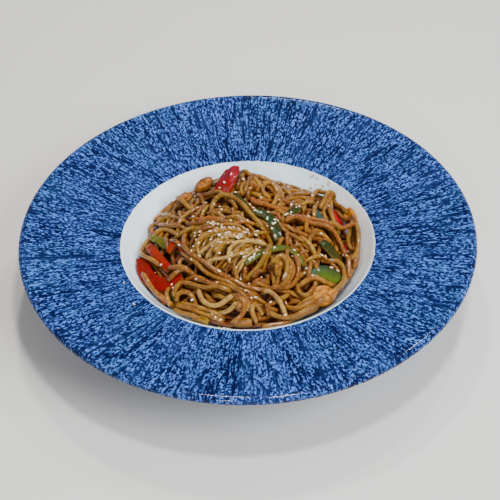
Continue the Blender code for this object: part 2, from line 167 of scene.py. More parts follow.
def stretch(tree, value, low, high, to_low=0.0, to_high=1.0):
    """Maps low..high to to_low..to_high with soft ends."""
    inputs = {"Value": value, 1: low, 2: high, 3: to_low, 4: to_high}
    return add(tree, "MapRange", inputs, interpolation_type="SMOOTHSTEP").outputs["Result"]


def grain(tree, vector, scale, detail=3.0, rough=0.55):
    """A noise value from 0 to 1, with features about 1 / scale metres across."""
    inputs = {"Vector": vector, "Scale": scale, "Detail": detail, "Roughness": rough}
    return add(tree, "TexNoise", inputs, noise_dimensions="3D").outputs["Fac"]


def bump(tree, height, strength, depth):
    """Turns a height pattern into a normal; its depth is in millimetres."""
    inputs = {"Height": height, "Strength": strength, "Distance": depth * MM}
    return add(tree, "Bump", inputs).outputs["Normal"]


def on_mesh(tree, name):
    """Reads what a piece carries on its vertices, as a colour and as a value."""
    made = add(tree, "Attribute", attribute_name=name)
    return made.outputs["Color"], made.outputs["Fac"]


def new_material(name):
    """A material with its shader, and the object coordinates that patterns read."""
    made = bpy.data.materials.new(name)
    made.use_nodes = True
    tree = made.node_tree
    return made, tree, tree.nodes["Principled BSDF"], add(tree, "TexCoord").outputs["Object"]


# %% [markdown]
# ## Two effects that many materials share
# Every food here is coated in the same dark, oily sauce, which lies as a film with thicker pools.
# A node group holds that effect once, and each material places it with its own amount. A second
# group makes plain patches, for colour that varies without a pattern. `sauce` and `patches` place
# the two groups in a material.

# %% Shared node groups
VECTOR = "NodeSocketVector"
VALUE = "NodeSocketFloat"


def new_group(name, takes, gives):
    """A shader node group, with the kinds of its inputs and outputs by name."""
    group = bpy.data.node_groups.new(name, "ShaderNodeTree")
    for label, kind in takes.items():
        group.interface.new_socket(label, in_out="INPUT", socket_type=kind)
    for label, kind in gives.items():
        group.interface.new_socket(label, in_out="OUTPUT", socket_type=kind)
    return group, group.nodes.new("NodeGroupInput"), group.nodes.new("NodeGroupOutput")


def place_group(tree, group, inputs):
    """Places a group in a material and gives its outputs."""
    made = tree.nodes.new("ShaderNodeGroup")
    made.node_tree = group
    return fill(tree, made, inputs).outputs


def make_patches_group():
    takes = {"Vector": VECTOR, "Scale": VALUE, "Low": VALUE, "High": VALUE}
    group, given, result = new_group("patches", takes, {"Mask": VALUE})
    value = grain(group, given.outputs["Vector"], given.outputs["Scale"], 4.0, 0.6)
    mask = stretch(group, value, given.outputs["Low"], given.outputs["High"])
    fill(group, result, {"Mask": mask})
    return group


def make_sauce_group():
    takes = {"Vector": VECTOR, "Amount": VALUE}
    group, given, result = new_group("sauce", takes, {"Mask": VALUE, "Height": VALUE})
    vector = given.outputs["Vector"]
    pools = stretch(group, grain(group, vector, 130.0, 3.0), 0.46, 0.66)
    fine = stretch(group, grain(group, vector, 520.0, 4.0, 0.6), 0.50, 0.72)
    film = larger(group, pools, times(group, fine, 0.8))
    film = times(group, film, given.outputs["Amount"])
    lumps = grain(group, vector, 900.0, 3.0)
    height = math_node(group, "ADD", lumps, times(group, film, 0.6))
    fill(group, result, {"Mask": film, "Height": height})
    return group


patches_group = make_patches_group()
sauce_group = make_sauce_group()


def patches(tree, place, scale, low, high, strength=1.0):
    """A mask of patches where the noise rises from low to high."""
    inputs = {"Vector": place, "Scale": scale, "Low": low, "High": high}
    return times(tree, place_group(tree, patches_group, inputs)["Mask"], strength)


def sauce(tree, place, amount):
    """The sauce as a mask, and the height of its film for a bump."""
    made = place_group(tree, sauce_group, {"Vector": place, "Amount": amount})
    return made["Mask"], made["Height"]


print("shared groups:", [group.name for group in bpy.data.node_groups])

# %% [markdown]
# ## Helpers for meshes
# Each piece is shaped in a bmesh and then becomes an object at the origin, with its place in its
# mesh. `finish_piece` does what every piece needs: smooth shading, its material, and a ride on
# the model's one body.

# %% Mesh helpers
def finish_piece(bm, name, materials, replaced=()):
    """Turns a bmesh into a piece that rides on the body and takes the given materials as its slots."""
    bmesh.ops.recalc_face_normals(bm, faces=bm.faces[:])
    mesh = bpy.data.meshes.new(name)
    bm.to_mesh(mesh)
    bm.free()
    for face in mesh.polygons:
        face.use_smooth = True
    for material in materials:
        mesh.materials.append(material)
    piece = bpy.data.objects.new(name, mesh)
    bpy.context.scene.collection.objects.link(piece)
    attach(piece, "root")
    if replaced:
        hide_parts(*replaced)
    return piece


# %% [markdown]
# ## The bowl
# A potter turns such a bowl on a wheel, so every section through its middle is the same. The
# section is drawn once and spun round the upright axis. The well's wall steepens towards the top
# and rounds over into the rim, which rises a little on its way to a thick rolled lip.

# %% The bowl's section
BOWL_R = 140.0
LIP_Z = 45.7
LIP_DROP = 5.4
LIP_WIDTH = 7.5
WELL_R = 78.0
WELL_EDGE_Z = 35.0
WELL_POWER = 1.9
FLOOR_R = 36.0
FLOOR_Z = 7.5
EDGE_ROUND = 2.6
WALL_THICK = 3.4
RIM_THICK = 4.6
RIM_POWER = 1.12
LIP_STEP = 1.1
WALL_STOP = 1.4
EDGE_CORNER = (0.1, 0.75)
FOOT = ((0.0, 3.0), (37.4, 3.0), (38.2, 0.7), (38.9, 0.0), (43.7, 0.0), (44.4, 0.7), (45.2, 3.0))
UNDER_EDGE = (5.5, -3.9)
UNDER_RIM_R = 88.0


def well_z(radius):
    """Height of the inside of the well, in millimetres."""
    out = max(0.0, (radius - FLOOR_R) / (WELL_R - FLOOR_R))
    return FLOOR_Z + (WELL_EDGE_Z - FLOOR_Z) * out**WELL_POWER


def rim_z(radius):
    """Height of the rim's upper face."""
    inner = WELL_R + EDGE_ROUND
    inner_z = WELL_EDGE_Z + 0.45 * EDGE_ROUND
    along = max(0.0, (radius - inner) / (BOWL_R - LIP_WIDTH - inner))
    return inner_z + (LIP_Z - LIP_STEP - inner_z) * along**RIM_POWER


def spread(first, last, count):
    """This many values from the first to the last, evenly spaced."""
    return [first + (last - first) * step / (count - 1) for step in range(count)]


def upper_section():
    """The section's upper side from the inside out, as radius and height."""
    wall_end = WELL_R - WALL_STOP
    upper = [(0.0, FLOOR_Z), (FLOOR_R * 0.5, FLOOR_Z), (FLOOR_R, FLOOR_Z)]
    upper += [(radius, well_z(radius)) for radius in spread(FLOOR_R + 2.0, wall_end, 30)]
    start = Vector((wall_end, well_z(wall_end)))
    corner = Vector((WELL_R + EDGE_CORNER[0], WELL_EDGE_Z + EDGE_CORNER[1]))
    end = Vector((WELL_R + EDGE_ROUND, rim_z(WELL_R + EDGE_ROUND)))
    for share in (0.2, 0.4, 0.6, 0.8):
        point = (1 - share) ** 2 * start + 2 * share * (1 - share) * corner + share**2 * end
        upper.append(tuple(point))
    upper += [(radius, rim_z(radius)) for radius in spread(WELL_R + EDGE_ROUND, BOWL_R - LIP_WIDTH, 20)]
    wide = 0.55 * LIP_DROP
    high = 0.5 * LIP_DROP
    for degrees in spread(120.0, -90.0, 19):
        angle = math.radians(degrees)
        upper.append((BOWL_R - wide + wide * math.cos(angle), LIP_Z - high + high * math.sin(angle)))
    return upper


def under_section():
    """The section's underside from the inside out, with the foot ring and its hollow."""
    under = list(FOOT)
    for radius in spread(50.0, 77.5, 14):
        under.append((radius + WALL_THICK, well_z(radius) - WALL_THICK + 0.2))
    under.append((WELL_R + UNDER_EDGE[0], WELL_EDGE_Z + UNDER_EDGE[1]))
    for radius in spread(UNDER_RIM_R, BOWL_R - LIP_WIDTH - 3.0, 10):
        under.append((radius, rim_z(radius) - RIM_THICK))
    return under


upper_side = upper_section()
underside = under_section()
print("section points:", len(upper_side), "above,", len(underside), "below")

# %% [markdown]
# ### The streaks in the blue glaze
# The rim has a reactive glaze that ran outwards in the kiln: a fine speckle of two blues on navy,
# crossed by thin navy runs and a few clots that point away from the middle. Drawing a texture out
# needs coordinates that go round and out. Angle itself has a seam where it jumps from one turn to
# the next, so the pattern is read on a cylinder instead: the direction from the middle, and the
# distance along the section as its height. The shorter that height, the longer the streaks.

# %% Glaze pattern
PATTERN_R = 0.115


def flat_part(tree, place):
    """A place without its height, its distance from the upright axis, and its height."""
    parts = add(tree, "SeparateXYZ", {0: place}).outputs
    flat = add(tree, "CombineXYZ", {0: parts[0], 1: parts[1]}).outputs[0]
    radius = add(tree, "VectorMath", {0: flat}, operation="LENGTH").outputs["Value"]
    return flat, radius, parts[2]


def make_streak_group():
    """The tone of the blue, the navy cracks and a slow drift of colour."""
    gives = {"Tone": VALUE, "Crack": VALUE, "Drift": VALUE}
    group, given, result = new_group("streaked_glaze", {"Vector": VECTOR}, gives)
    flat, radius, height = flat_part(group, given.outputs["Vector"])
    outward = vector_node(group, "NORMALIZE", flat)
    path = math_node(group, "SUBTRACT", radius, height)
    scaled = add(group, "VectorMath", {0: outward, "Scale": PATTERN_R}, operation="SCALE").outputs[0]

    def on_cylinder(shorten):
        lift = add(group, "CombineXYZ", {2: times(group, path, shorten)}).outputs[0]
        return vector_node(group, "ADD", scaled, lift)

    near = on_cylinder(0.7)
    speckle = stretch(group, grain(group, near, 900.0, 1.0, 0.5), 0.44, 0.56, 1.0, 0.0)
    from_half = math_node(group, "SUBTRACT", grain(group, on_cylinder(0.12), 300.0, 1.0, 0.5), 0.5)
    runs = stretch(group, math_node(group, "ABSOLUTE", from_half), 0.018, 0.05, 1.0, 0.0)
    clots = stretch(group, grain(group, on_cylinder(0.22), 290.0, 2.0, 0.6), 0.61, 0.67)
    crack = larger(group, speckle, larger(group, runs, clots))
    cover = stretch(group, grain(group, on_cylinder(0.4), 75.0, 2.0), 0.30, 0.62, 0.9, 1.0)
    fill(group, result, {
        "Tone": grain(group, near, 820.0, 2.0, 0.6),
        "Crack": times(group, crack, cover),
        "Drift": grain(group, near, 38.0, 2.0),
    })
    return group


streak_group = make_streak_group()
print("glaze pattern nodes:", len(streak_group.nodes))

# %% [markdown]
# ### The glaze on the bowl
# One material covers the whole bowl, and masks part it. The well was dipped in plain white, up to
# a slightly ragged line on its edge, and the foot ring was wiped bare. The sauce has left stains
# low in the well and a few specks on the wall at the back. A faint warm smear on the right wall is
# partly a thin film of sauce and partly painted shade. The blue reflects little where one looks
# straight at it, so that it stays deep, while the white and the lip have a clear coat.

# %% Glaze material
GLAZE_NAVY = linear(0, 9, 54)
GLAZE_BLUE = linear(30, 58, 116)
GLAZE_PALE = linear(82, 126, 220)
GLAZE_TEAL = linear(34, 104, 138)
GLAZE_WHITE = linear(226, 243, 255)
GLAZE_CLOUD = linear(204, 222, 240)
BARE_CLAY = linear(214, 200, 178)
STAIN = linear(196, 158, 112)
SPECK = linear(150, 84, 44)
# The right wall's warm smear: partly sauce film, partly painted shade.
SMEAR_AND_SHADE = linear(206, 186, 160)
DIP_MIDDLE = (0.0, -1.2 * MM, 0.0)
SPECK_PLACE = (47.9 * MM, 57.5 * MM, 30.7 * MM)
SMEAR_AND_SHADE_PLACE = (72.0 * MM, 14.0 * MM, 32.0 * MM)


def rim_colour(tree, streaks):
    blue = mix(tree, stretch(tree, streaks["Tone"], 0.36, 0.62), GLAZE_BLUE, GLAZE_PALE)
    drift = stretch(tree, streaks["Drift"], 0.42, 0.68)
    blue = mix(tree, times(tree, drift, 0.22), blue, GLAZE_TEAL)
    return mix(tree, streaks["Crack"], blue, GLAZE_NAVY)


def well_colour(tree, place, radius):
    cloud = stretch(tree, grain(tree, place, 45.0, 2.0), 0.35, 0.70)
    white = mix(tree, times(tree, cloud, 0.5), GLAZE_WHITE, GLAZE_CLOUD)
    stain = stretch(tree, grain(tree, place, 95.0, 3.0), 0.50, 0.72)
    stain = times(tree, stain, stretch(tree, radius, 0.067, 0.0745, 0.55, 0.0))
    white = mix(tree, stain, white, STAIN)
    near_specks = stretch(tree, distance(tree, place, SPECK_PLACE), 0.006, 0.011, 0.8, 0.0)
    specks = times(tree, near_specks, stretch(tree, grain(tree, place, 380.0, 1.0), 0.58, 0.66))
    white = mix(tree, specks, white, SPECK)
    # Partly a thin sauce film, partly painted warm shade on the right wall.
    smear_and_shade = stretch(tree, distance(tree, place, SMEAR_AND_SHADE_PLACE), 0.022, 0.064, 0.36, 0.0)
    return mix(tree, smear_and_shade, white, SMEAR_AND_SHADE)


def make_glaze():
    made, tree, shader, place = new_material("bowl_glaze")
    streaks = place_group(tree, streak_group, {"Vector": place})
    flat, radius, height = flat_part(tree, place)
    ragged = times(tree, grain(tree, place, 320.0, 2.0), 0.0010)
    from_dip = math_node(tree, "ADD", distance(tree, flat, DIP_MIDDLE), ragged)
    inside = times(tree, stretch(tree, from_dip, 0.0790, 0.0796, 1.0, 0.0), on_mesh(tree, "upper")[1])
    foot = stretch(tree, height, 0.0012, 0.0018, 1.0, 0.0)
    colour = mix(tree, inside, rim_colour(tree, streaks), well_colour(tree, place, radius))
    rough = mix(tree, streaks["Crack"], grey(0.40), grey(0.55))
    rough = mix(tree, inside, rough, grey(0.16))
    lip = stretch(tree, radius, 0.1355, 0.1375, 0.0, 0.35)
    sunk = times(tree, streaks["Crack"], math_node(tree, "SUBTRACT", inside, 1.0))
    fill(tree, shader, {
        "Base Color": mix(tree, foot, colour, BARE_CLAY),
        "Roughness": mix(tree, foot, rough, grey(0.85)),
        "Coat Weight": larger(tree, lip, inside),
        "Coat Roughness": 0.08,
        "Specular IOR Level": 0.05,
        "Normal": bump(tree, sunk, 0.5, 0.25),
    })
    return made


glaze = make_glaze()
print("glaze nodes:", len(glaze.node_tree.nodes))

# %% [markdown]
# ### Turning the bowl
# The section's points are joined and spun once round, as on the wheel. Only the upper side carries
# the mark that the white glaze reads, so that the outside of the well stays blue.

# %% The bowl itself
BOWL_TURNS = 192
LIP_UNDER_POINTS = 4


def make_bowl():
    """Spins the section round the upright axis. The upper side is marked for the white glaze."""
    bm = bmesh.new()
    upper_layer = bm.verts.layers.float.new("upper")
    section = upper_side + underside[::-1]
    verts = [bm.verts.new((radius * MM, 0.0, height * MM)) for radius, height in section]
    for vert in verts[: len(upper_side) - LIP_UNDER_POINTS]:
        vert[upper_layer] = 1.0
    edges = [bm.edges.new(pair) for pair in zip(verts, verts[1:])]
    bmesh.ops.spin(
        bm,
        geom=verts + edges,
        cent=(0.0, 0.0, 0.0),
        axis=(0.0, 0.0, 1.0),
        dvec=(0.0, 0.0, 0.0),
        angle=math.tau,
        steps=BOWL_TURNS,
        use_merge=True,
    )
    bmesh.ops.remove_doubles(bm, verts=bm.verts[:], dist=0.01 * MM)
    return finish_piece(bm, "glazed_bowl", [glaze], ["bowl"])


bowl = make_bowl()
print("bowl faces:", len(bowl.data.polygons))

# %% [markdown]
# ## Where the food lies
# The heap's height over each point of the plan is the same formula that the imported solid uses:
# a dome on the wall of the well, with a few humps. Noodles are dropped one by one, so the script
# keeps a relief map, a square grid of the height of whatever lies on top so far. A round noodle
# comes to rest where it first touches that relief, and then raises it for the next one.

# %% Heap and relief
HEAP_R = 70.0
HEAP_CROWN = 20.0
HEAP_POWER = 2.3
# Each hump is the place of its middle, its rise and its width.
HUMPS = (
    (-2.0, 51.0, 14.0, 14.0),
    (-16.0, 6.0, 3.5, 20.0),
    (34.0, 18.0, 2.5, 18.0),
    (10.0, -34.0, 2.0, 18.0),
)
BED_DEPTH = 10.0
BED_R = 61.0
BED_THIN = 0.25
CEILING = 51.7
LOOK_FROM = 200.0
DOWN = Vector((0.0, 0.0, -1.0))


def heap_z(x, y):
    """Height of the heap's top over a point of the plan, in millimetres."""
    out = min(1.0, math.hypot(x, y) / HEAP_R)
    height = well_z(HEAP_R) + HEAP_CROWN * (1.0 - out**HEAP_POWER)
    for hump_x, hump_y, rise, wide in HUMPS:
        apart = (x - hump_x) ** 2 + (y - hump_y) ** 2
        height += rise * math.exp(-apart / (2.0 * wide**2)) * (1.0 - out**6)
    return height


def bed_z(x, y):
    """The dark bed under the loose noodles, which thins out on the wall of the well."""
    wall = well_z(math.hypot(x, y))
    return max(wall + BED_THIN, heap_z(x, y) - BED_DEPTH)


def look_down(tree, x, y):
    """Where a ray cast down over a point of the plan meets a piece, and the slope it meets."""
    return tree.ray_cast(Vector((x, y, LOOK_FROM)) * MM, DOWN)[:2]


class Relief:
    """The height of whatever lies on top, over a square grid of the plan, in millimetres."""

    CELL = 0.8
    HALF = 80.0
    MARGIN = 4

    def __init__(self, surface):
        self.count = int(2.0 * self.HALF / self.CELL) + 1
        places = [index * self.CELL - self.HALF for index in range(self.count)]
        self.rows = [[surface(x, y) for x in places] for y in places]
        self.discs = {}

    def disc(self, radius):
        """Grid steps under a ball of this radius, with the ball's rise over each of them."""
        key = round(radius, 2)
        if key not in self.discs:
            reach = int(radius / self.CELL)
            steps = range(-reach, reach + 1)
            found = [(i, j, radius**2 - (i * i + j * j) * self.CELL**2) for i in steps for j in steps]
            self.discs[key] = [(i, j, math.sqrt(left)) for i, j, left in found if left >= 0.0]
        return self.discs[key]

    def cell(self, x, y):
        column = round((x + self.HALF) / self.CELL)
        row = round((y + self.HALF) / self.CELL)
        last = self.count - 1 - self.MARGIN
        return min(max(column, self.MARGIN), last), min(max(row, self.MARGIN), last)

    def height(self, x, y):
        column, row = self.cell(x, y)
        return self.rows[row][column]

    def rest(self, x, y, radius):
        """How high the middle of a ball of this radius comes to rest."""
        column, row = self.cell(x, y)
        return max(self.rows[row + j][column + i] + rise for i, j, rise in self.disc(radius))

    def cover(self, x, y, z, radius):
        """Adds a ball to the relief."""
        column, row = self.cell(x, y)
        for i, j, rise in self.disc(radius):
            line = self.rows[row + j]
            line[column + i] = max(line[column + i], z + rise)

    def raise_to(self, tree, low, high):
        """Adds a piece to the relief, from rays cast down on it inside its box."""
        first = self.cell(low.x / MM, low.y / MM)
        last = self.cell(high.x / MM, high.y / MM)
        for row in range(first[1], last[1] + 1):
            for column in range(first[0], last[0] + 1):
                x = column * self.CELL - self.HALF
                y = row * self.CELL - self.HALF
                hit = look_down(tree, x, y)[0]
                if hit:
                    self.rows[row][column] = max(self.rows[row][column], hit.z / MM)


def bare_bowl(x, y):
    """The relief before any noodle: the bed, and the wall of the well round it."""
    return bed_z(x, y) if math.hypot(x, y) < BED_R else well_z(math.hypot(x, y))


relief = Relief(bare_bowl)
print("relief grid:", relief.count, "by", relief.count)

# %% [markdown]
# ### The bed under the noodles
# Low in the heap the gaps between noodles show only dark sauce in deep shade. A thin lens of sauce
# colour, darkened further as painted shade, fills the middle, so that light doesn't shine through
# from the white glaze.

# %% Sauce bed, darkened as painted shade
BED_ROUND = 72
BED_RINGS = 24
BED_LIFT = 0.12
# Both bed colours are sauce darkened as painted shade of the heap's depths.
BED_SHADE_DARK = linear(52, 26, 10)
BED_LIGHT = linear(98, 54, 20)


def make_bed_material():
    made, tree, shader, place = new_material("shaded_sauce_bed")
    fill(tree, shader, {
        "Base Color": mix(tree, patches(tree, place, 300.0, 0.4, 0.65), BED_SHADE_DARK, BED_LIGHT),
        "Roughness": 0.3,
        "Normal": bump(tree, grain(tree, place, 500.0), 0.6, 0.8),
    })
    return made


def make_bed():
    """A ball whose upper half is laid on the bed's surface and whose lower half lies on the well."""
    bm = bmesh.new()
    bmesh.ops.create_uvsphere(bm, u_segments=BED_ROUND, v_segments=BED_RINGS, radius=1.0)
    for vert in bm.verts:
        flat = Vector((vert.co.x, vert.co.y))
        share = min(1.0, math.acos(max(-1.0, min(1.0, abs(vert.co.z)))) / (0.5 * math.pi))
        spot = (flat.normalized() if flat.length > 1e-6 else flat) * share * BED_R
        wall = well_z(spot.length) + BED_LIFT
        height = bed_z(spot.x, spot.y) if vert.co.z > -1e-6 else wall
        vert.co = Vector((spot.x, spot.y, height)) * MM
    return finish_piece(bm, "shaded_sauce_bed", [make_bed_material()], ["noodles"])


bed = make_bed()
print("bed faces:", len(bed.data.polygons))

# %% [markdown]
# ## Noodles
# A boiled and fried noodle is a soft cord about 3 mm thick that bends in slow curves and lies on
# what is under it. Each one starts as a line in plan. `lay` gives it its height: it rests on the
# relief, bridges small gaps because it is a little stiff, and sinks slightly where it crosses.

# %% Lines and heights
STEP = 1.5
EVENING = 5
STIFFNESS = 24
SINK = 0.9
TUCK = 2.6
TUCK_STEPS = 5
DENSE = 12
EDGE_MARGIN = 1.4


def catmull(points, share):
    """A point on the smooth curve through these points; share runs from 0 to 1."""
    place = share * (len(points) - 1)
    index = min(int(place), len(points) - 2)
    t = place - index
    before = Vector(points[max(index - 1, 0)])
    start = Vector(points[index])
    end = Vector(points[index + 1])
    after = Vector(points[min(index + 2, len(points) - 1)])
    bend = (2.0 * before - 5.0 * start + 4.0 * end - after) * t**2
    turn = (3.0 * start - before - 3.0 * end + after) * t**3
    return 0.5 * (2.0 * start + (end - before) * t + bend + turn)


def smooth_line(points):
    """Evenly spaced points on the smooth curve through the given ones, kept inside the heap."""
    steps = DENSE * (len(points) - 1)
    dense = [catmull(points, step / steps) for step in range(steps + 1)]
    line = [dense[0]]
    for point in dense[1:]:
        if (point - line[-1]).length >= STEP:
            line.append(point)
    for _ in range(EVENING):
        line[1:-1] = [(a + 2.0 * b + c) / 4.0 for a, b, c in zip(line, line[1:], line[2:])]
    reach = HEAP_R - EDGE_MARGIN
    return [point * min(1.0, reach / point.length) if point.length else point for point in line]


def lay(line, radius):
    """Heights of a noodle's middle along its line, after it has come to rest."""
    rest = [relief.rest(point.x, point.y, radius) for point in line]
    heights = rest[:]
    for _ in range(STIFFNESS):
        padded = [heights[0]] + heights + [heights[-1]]
        evened = [(a + 2.0 * b + c) / 4.0 for a, b, c in zip(padded, padded[1:], padded[2:])]
        heights = [max(even, low - SINK) for even, low in zip(evened, rest)]
    return [min(height, CEILING - radius) for height in heights]


class Noodle:
    """A laid noodle: its middle line in millimetres, its thickness and its colour. Its ends are
    tucked in, and it is part of the relief from then on."""

    def __init__(self, line, radius, colour):
        self.radius = radius
        self.colour = colour
        heights = lay(line, radius)
        self.points = [Vector((spot.x, spot.y, height)) for spot, height in zip(line, heights)]
        for index in range(min(TUCK_STEPS, len(line) // 2)):
            down = TUCK * (1.0 - index / TUCK_STEPS) ** 2
            for point in (self.points[index], self.points[-1 - index]):
                floor = well_z(math.hypot(point.x, point.y)) + 1.3 * radius
                point.z = max(min(point.z, floor), point.z - down)
        for point in self.points:
            relief.cover(point.x, point.y, point.z, radius)


# %% [markdown]
# ### From a line to a round noodle
# A curve with a round bevel would give the tube, but each noodle also carries its own colour, and
# that is simplest on its own vertices. So a flat grid is rolled round the line: one side of the
# grid runs along the noodle, the other goes round it. The seam is merged and both ends are
# filled. A slow swell along each noodle and narrower ends keep it from looking like a pipe.

# %% Rolling a noodle
SIDES = 10
SWELL = 0.05
END_TAPER = 0.72
# The depth that the noodles' painted shade is measured against.
FULL_SHADE_DEPTH = 8.0


def line_frames(points):
    """Two directions across the line at each point, turned as little as possible on the way."""
    frames = []
    side = None
    for index in range(len(points)):
        ahead = (points[min(index + 1, len(points) - 1)] - points[max(index - 1, 0)]).normalized()
        if side is None:
            side = ahead.cross(Vector((0.0, 0.0, 1.0))).normalized()
        side = (side - ahead * side.dot(ahead)).normalized()
        frames.append((side, ahead.cross(side)))
    return frames


def roll_noodle(bm, noodle, draw):
    """Adds one noodle to a bmesh, with its colour and, for the painted shade, its depth in the heap on
    every vertex.
    """
    tint = bm.verts.layers.float_color["tint"]
    deep = bm.verts.layers.float["deep"]
    points = noodle.points
    last = len(points) - 1
    frames = line_frames(points)
    phase = draw.uniform(0.0, math.tau)
    verts = bmesh.ops.create_grid(bm, x_segments=last, y_segments=SIDES, size=0.5)["verts"]
    for vert in verts:
        index = round((vert.co.x + 0.5) * last)
        angle = math.tau * (vert.co.y + 0.5)
        radius = noodle.radius * (1.0 + SWELL * math.sin(phase + 0.5 * index))
        if index in (0, last):
            radius *= END_TAPER
        side, over = frames[index]
        spot = points[index] + radius * (math.cos(angle) * side + math.sin(angle) * over)
        vert.co = spot * MM
        vert[tint] = noodle.colour
        # Depth below the heap's top, which darkens the noodle as painted shade.
        vert[deep] = (heap_z(spot.x, spot.y) - spot.z) / FULL_SHADE_DEPTH
    bmesh.ops.remove_doubles(bm, verts=verts, dist=0.01 * MM)
    around = (edge for vert in verts if vert.is_valid for edge in vert.link_edges)
    rims = dict.fromkeys(edge for edge in around if edge.is_boundary)
    bmesh.ops.holes_fill(bm, edges=list(rims), sides=SIDES)


def make_noodle_piece(name, noodles, draw):
    """All these noodles as one piece."""
    bm = bmesh.new()
    bm.verts.layers.float_color.new("tint")
    bm.verts.layers.float.new("deep")
    for noodle in noodles:
        roll_noodle(bm, noodle, draw)
    return finish_piece(bm, name, [noodle_material])


# %% [markdown]
# ### Noodle colour
# Fried noodles run from pale straw to the brown of the sauce they lay in. Each noodle has its own
# colour on its vertices. The material adds the sauce film, fine flecks, painted shade that darkens
# the noodles lying deep in the heap, and a glossy coat of oil that breaks into small lights.

# %% Noodle material
SAUCE_BROWN = linear(98, 39, 5)
# The brown of the painted shade on noodles deep in the heap.
DEEP_SHADE_BROWN = linear(106, 38, 3)
FLECK = linear(186, 142, 70)
STREAK = linear(78, 30, 5)


def make_noodle_material():
    made, tree, shader, place = new_material("fried_noodle")
    film, film_height = sauce(tree, place, 0.5)
    colour = mix(tree, patches(tree, place, 850.0, 0.47, 0.60, 0.34), on_mesh(tree, "tint")[0], FLECK)
    colour = mix(tree, patches(tree, place, 420.0, 0.53, 0.62, 0.45), colour, STREAK)
    colour = mix(tree, film, colour, SAUCE_BROWN)
    # Painted shade: noodles lying deep in the heap are darkened towards that brown.
    deep = stretch(tree, on_mesh(tree, "deep")[1], 0.28, 0.95)
    wrinkles = math_node(tree, "ADD", film_height, grain(tree, place, 900.0, 2.0))
    fill(tree, shader, {
        "Base Color": mix(tree, deep, colour, DEEP_SHADE_BROWN),
        "Roughness": stretch(tree, grain(tree, place, 600.0), 0.3, 0.7, 0.22, 0.45),
        "Coat Weight": 0.9,
        "Coat Roughness": 0.05,
        "Specular IOR Level": 0.1,
        "Subsurface Weight": 0.2,
        "Subsurface Radius": (1.0, 0.55, 0.2),
        "Subsurface Scale": 1.6 * MM,
        "Normal": bump(tree, wrinkles, 0.9, 0.4),
    })
    return made


noodle_material = make_noodle_material()
print("noodle material nodes:", len(noodle_material.node_tree.nodes))

# %% [markdown]
# ### Noodle colours
# The colours are darker than the noodles look, because the coat of oil and the flecks lighten
# them. The common ones are named more often in TINTS, and each noodle then varies a little.

# %% Noodle colours
STRAW = linear(140, 98, 27)
GOLD = linear(127, 81, 11)
OLIVE = linear(122, 88, 10)
AMBER = linear(142, 82, 9)
BROWN = linear(112, 62, 7)
ROSY = linear(132, 71, 16)
PALE = linear(164, 130, 66)
ASH = linear(136, 112, 64)
TINTS = (STRAW, GOLD, GOLD, OLIVE, BROWN, BROWN, ROSY)
VARY = 0.24
TRACED_VARY = 0.14


def vary(colour, draw, amount=VARY):
    """A colour a little lighter or darker than the given one."""
    factor = 1.0 + draw.uniform(-amount, amount)
    return tuple(min(1.0, channel * factor) for channel in colour[:3]) + (1.0,)


# %% [markdown]
# ### Loose noodles low in the heap
# These show only through the gaps, so no one of them has to lie in a given place. Each is drawn
# as a walk whose bend drifts, like a cord thrown down. Of several walks, the one that fills the
# hollowest ground is kept. A walk that would rise above the level on which the upper noodles lie
# loses points for it, and if none has any points left, that noodle is left out.

# %% Low noodles
LOW_LEVEL = 2.8
LOW_COUNT = 250
LOW_TRIES = 16
HOLLOW_DRAWS = 6
EDGE = 66.5
EDGE_BAND = 9.0
FIRST_BEND = 0.07
TIGHTEST_BEND = 0.10
BEND_KEPT = 0.97
BEND_DRIFT = 0.022
TURN_BACK = 0.045
MOST_TURN = 0.35
MOST_ROOM = 4.0
SQUEEZE = 0.3
RISE_COST = 6.0


def hollow_spot(draw, level):
    """The hollowest of a few points drawn evenly over the heap."""
    best = None
    for _ in range(HOLLOW_DRAWS):
        out = EDGE * math.sqrt(draw.random())
        around = draw.uniform(0.0, math.tau)
        spot = Vector((out * math.cos(around), out * math.sin(around)))
        room = heap_z(spot.x, spot.y) - level - relief.height(spot.x, spot.y)
        if best is None or room > best[0]:
            best = (room, spot)
    return best[1]


def wander(draw, length, level):
    """Plan points of a loose noodle. Near the edge of the heap it turns back along the edge."""
    spot = hollow_spot(draw, level)
    heading = draw.uniform(0.0, math.tau)
    bend = draw.uniform(-FIRST_BEND, FIRST_BEND)
    line = [spot.copy()]
    for _ in range(int(length / STEP)):
        drifted = BEND_KEPT * bend + draw.uniform(-BEND_DRIFT, BEND_DRIFT)
        bend = max(-TIGHTEST_BEND, min(TIGHTEST_BEND, drifted))
        over = spot.length - (EDGE - EDGE_BAND)
        if over > 0.0:
            off = (heading - math.atan2(spot.y, spot.x) + math.pi) % math.tau - math.pi
            if abs(off) < 0.5 * math.pi:
                heading += math.copysign(min(MOST_TURN, TURN_BACK * over), off)
        heading += bend * STEP
        spot = spot + STEP * Vector((math.cos(heading), math.sin(heading)))
        line.append(spot.copy())
    return [point * min(1.0, EDGE / point.length) for point in line]


def fill_score(line, radius, level):
    """How well a walk fills hollow ground without rising above the level."""
    score = 0.0
    for point in line[::3]:
        room = heap_z(point.x, point.y) - level - relief.rest(point.x, point.y, radius) - radius
        score += min(room, MOST_ROOM) if room > -SQUEEZE else RISE_COST * room
    return score / len(line[::3])


def lay_noodles(draw, count, tries, level, lengths, radii):
    """Adds walks that fill the hollowest ground and stay this far below the heap's top."""
    made = []
    for _ in range(count):
        radius = draw.uniform(*radii)
        best = None
        best_score = 0.0
        for _ in range(tries):
            line = wander(draw, draw.uniform(*lengths), level)
            score = fill_score(line, radius, level)
            if score > best_score:
                best, best_score = line, score
        if best:
            made.append(Noodle(best, radius, vary(draw.choice(TINTS), draw)))
    return made


